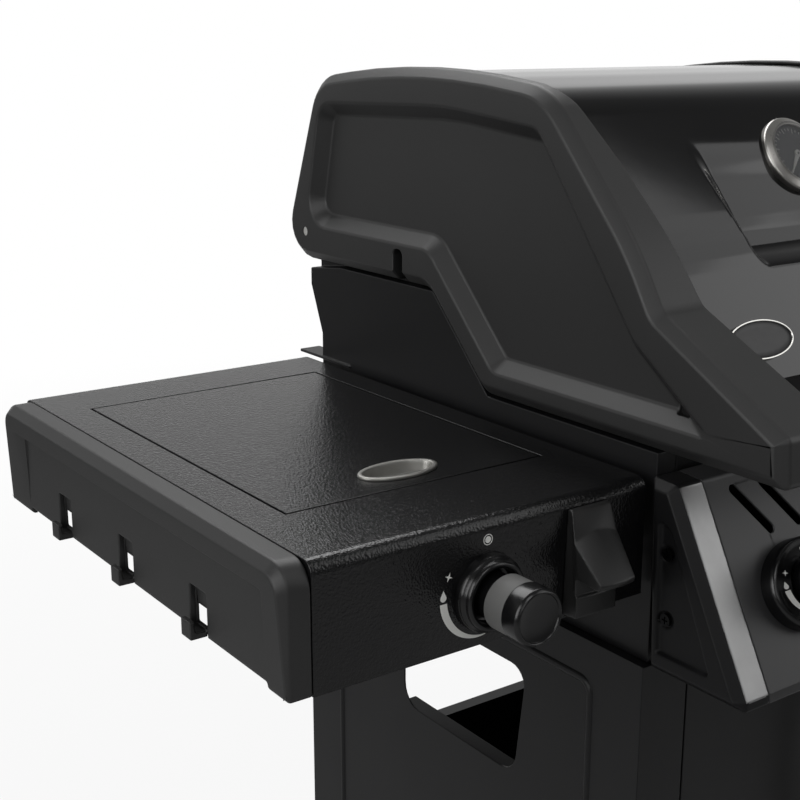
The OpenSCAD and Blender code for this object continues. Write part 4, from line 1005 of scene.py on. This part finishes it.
# %% [markdown]
# The finger pull in the cover is a die-cast oval cup. It grows from one oval ring:
# each next ring is pulled out of the last, moved up or down and drawn in by the
# same width all round, so the rim keeps its width at the ends and at the sides.

# %% Finger pull
def oval_rings(name, middle, tilt, a, b, rings, count=80):
    """A cup or plate from an oval: rings of (drawn in, height) mm, closed at the last."""
    rest()
    bpy.ops.mesh.primitive_circle_add(vertices=count, radius=1)
    piece = bpy.context.object
    piece.name = piece.data.name = name
    bpy.ops.object.mode_set(mode="EDIT")
    bpy.ops.mesh.select_all(action="SELECT")
    bpy.ops.transform.resize(value=(a * MM, b * MM, 1))
    bpy.ops.transform.translate(value=(0, 0, rings[0][1] * MM))
    now = (a, b, rings[0][1])
    for inward, height in rings[1:]:
        next_a, next_b = a - inward, b - inward
        rise = (0, 0, (height - now[2]) * MM)
        bpy.ops.mesh.extrude_region_move(TRANSFORM_OT_translate={"value": rise})
        bpy.ops.transform.resize(value=(next_a / now[0], next_b / now[1], 1),
                                 center_override=(0, 0, height * MM))
        now = (next_a, next_b, height)
    bpy.ops.mesh.edge_face_add()
    bpy.ops.mesh.select_all(action="SELECT")
    bpy.ops.transform.rotate(value=-tilt, orient_axis="X", center_override=(0, 0, 0))
    bpy.ops.transform.translate(value=middle)
    bpy.ops.mesh.normals_make_consistent(inside=False)
    bpy.ops.object.mode_set(mode="OBJECT")
    bpy.ops.object.shade_smooth_by_angle(angle=math.radians(50))
    return piece


cup = oval_rings("pull_cup", spot(-392, 121, 0), 0, 35, 19,
                 [(3.6, -14.6), (3.4, -1), (0.4, -0.2), (0, 0.4), (0, 1.6), (0.3, 2.2),
                  (0.9, 2.5), (3.2, 2.5), (3.9, 2.2), (4.2, 1.6), (4.6, -1), (5.6, -6),
                  (7, -9.4), (9, -11.2), (12, -12), (15, -12.2)])
done(cup, zinc, "side_cover", "cover_pull")
scoop_rings = [(0, -2), (0, 0), (0.5, 0.5), (2, 0.3), (4, 0)]
shelf_in_cup = oval_rings("pull_scoop", spot(-384, 113.5, -4), 0.5, 20, 5.6, scoop_rings)
done(shelf_in_cup, zinc, "side_cover")

# %% [markdown]
# The name plate is left bare: a satin black oval with a thin bright rim, standing
# on the hood's front. The rim and the face are two pieces, as on an inlaid badge.

# %% Bare name plate
plate_lo, plate_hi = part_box("name_plate")
plate_mid = (plate_lo + plate_hi) / 2
low_tilt = math.atan2(bend[0] - knee[0], bend[1] - knee[1])
lean = math.pi / 2 - low_tilt
face_rings = [(0, -2.6), (0, 1.6), (1, 1.9), (1.4, 1.5), (6, 1.5)]
plate = oval_rings("plate_face", plate_mid, lean, 35.4, 15.6, face_rings)
done(plate, satin_abs, "hood", "name_plate")
rim_rings = [(0.7, -2.2), (0, -2), (0, 2.1), (0.3, 2.5), (1.2, 2.5), (1.5, 2.1), (1.5, 1.4)]
trim = oval_rings("plate_rim", plate_mid, lean, 36, 16.2, rim_rings)
done(trim, plated, "hood")

# %% [markdown]
# A bead is pressed round the middle of each cart side to stiffen the sheet. It is a
# low, wide ridge with sloping flanks. Its path, a rectangle with round corners, is
# filled as a face; inset twice, it gives the two flanks' feet and the crown, and the
# crown alone is lifted out of the sheet.

# %% Beads of the cart's sides
def bead(name, sign, foot_z):
    """The ridge on one cart side, down to foot_z mm."""
    path = arc_line([(50, -188, 16), (434, -188, 16), (434, foot_z, 16), (50, foot_z, 16)],
                    closed=True)
    piece = wire(name, [spot(sign * 245.6, p.x, p.y) for p in path + path[:1]])
    bpy.ops.mesh.remove_doubles(threshold=0.000002)
    bpy.ops.mesh.edge_face_add()
    out = Vector((sign, 0, 0))
    ridge = ((0.2, 0.6), (2.2, 1.5), (0.8, 0.3), (1.6, 0), (0.8, -0.3), (2.2, -1.5), (0.2, -0.6))
    for width, lift in ridge:
        bpy.ops.mesh.inset(thickness=width * MM, depth=0, use_boundary=True, use_even_offset=True)
        bpy.ops.transform.translate(value=out * lift * MM)
    bpy.ops.mesh.delete(type="ONLY_FACE")
    bpy.ops.mesh.select_all(action="SELECT")
    bpy.ops.mesh.normals_make_consistent(inside=False)
    bpy.ops.object.mode_set(mode="OBJECT")
    bpy.ops.object.shade_smooth_by_angle(angle=math.radians(50))
    if sum(f.normal.x * f.area for f in piece.data.polygons) * sign < 0:
        piece.data.flip_normals()
    return done(piece, satin, "stand")


for side_name, sign in (("left", -1), ("right", 1)):
    bead("bead_" + side_name, sign, -688)
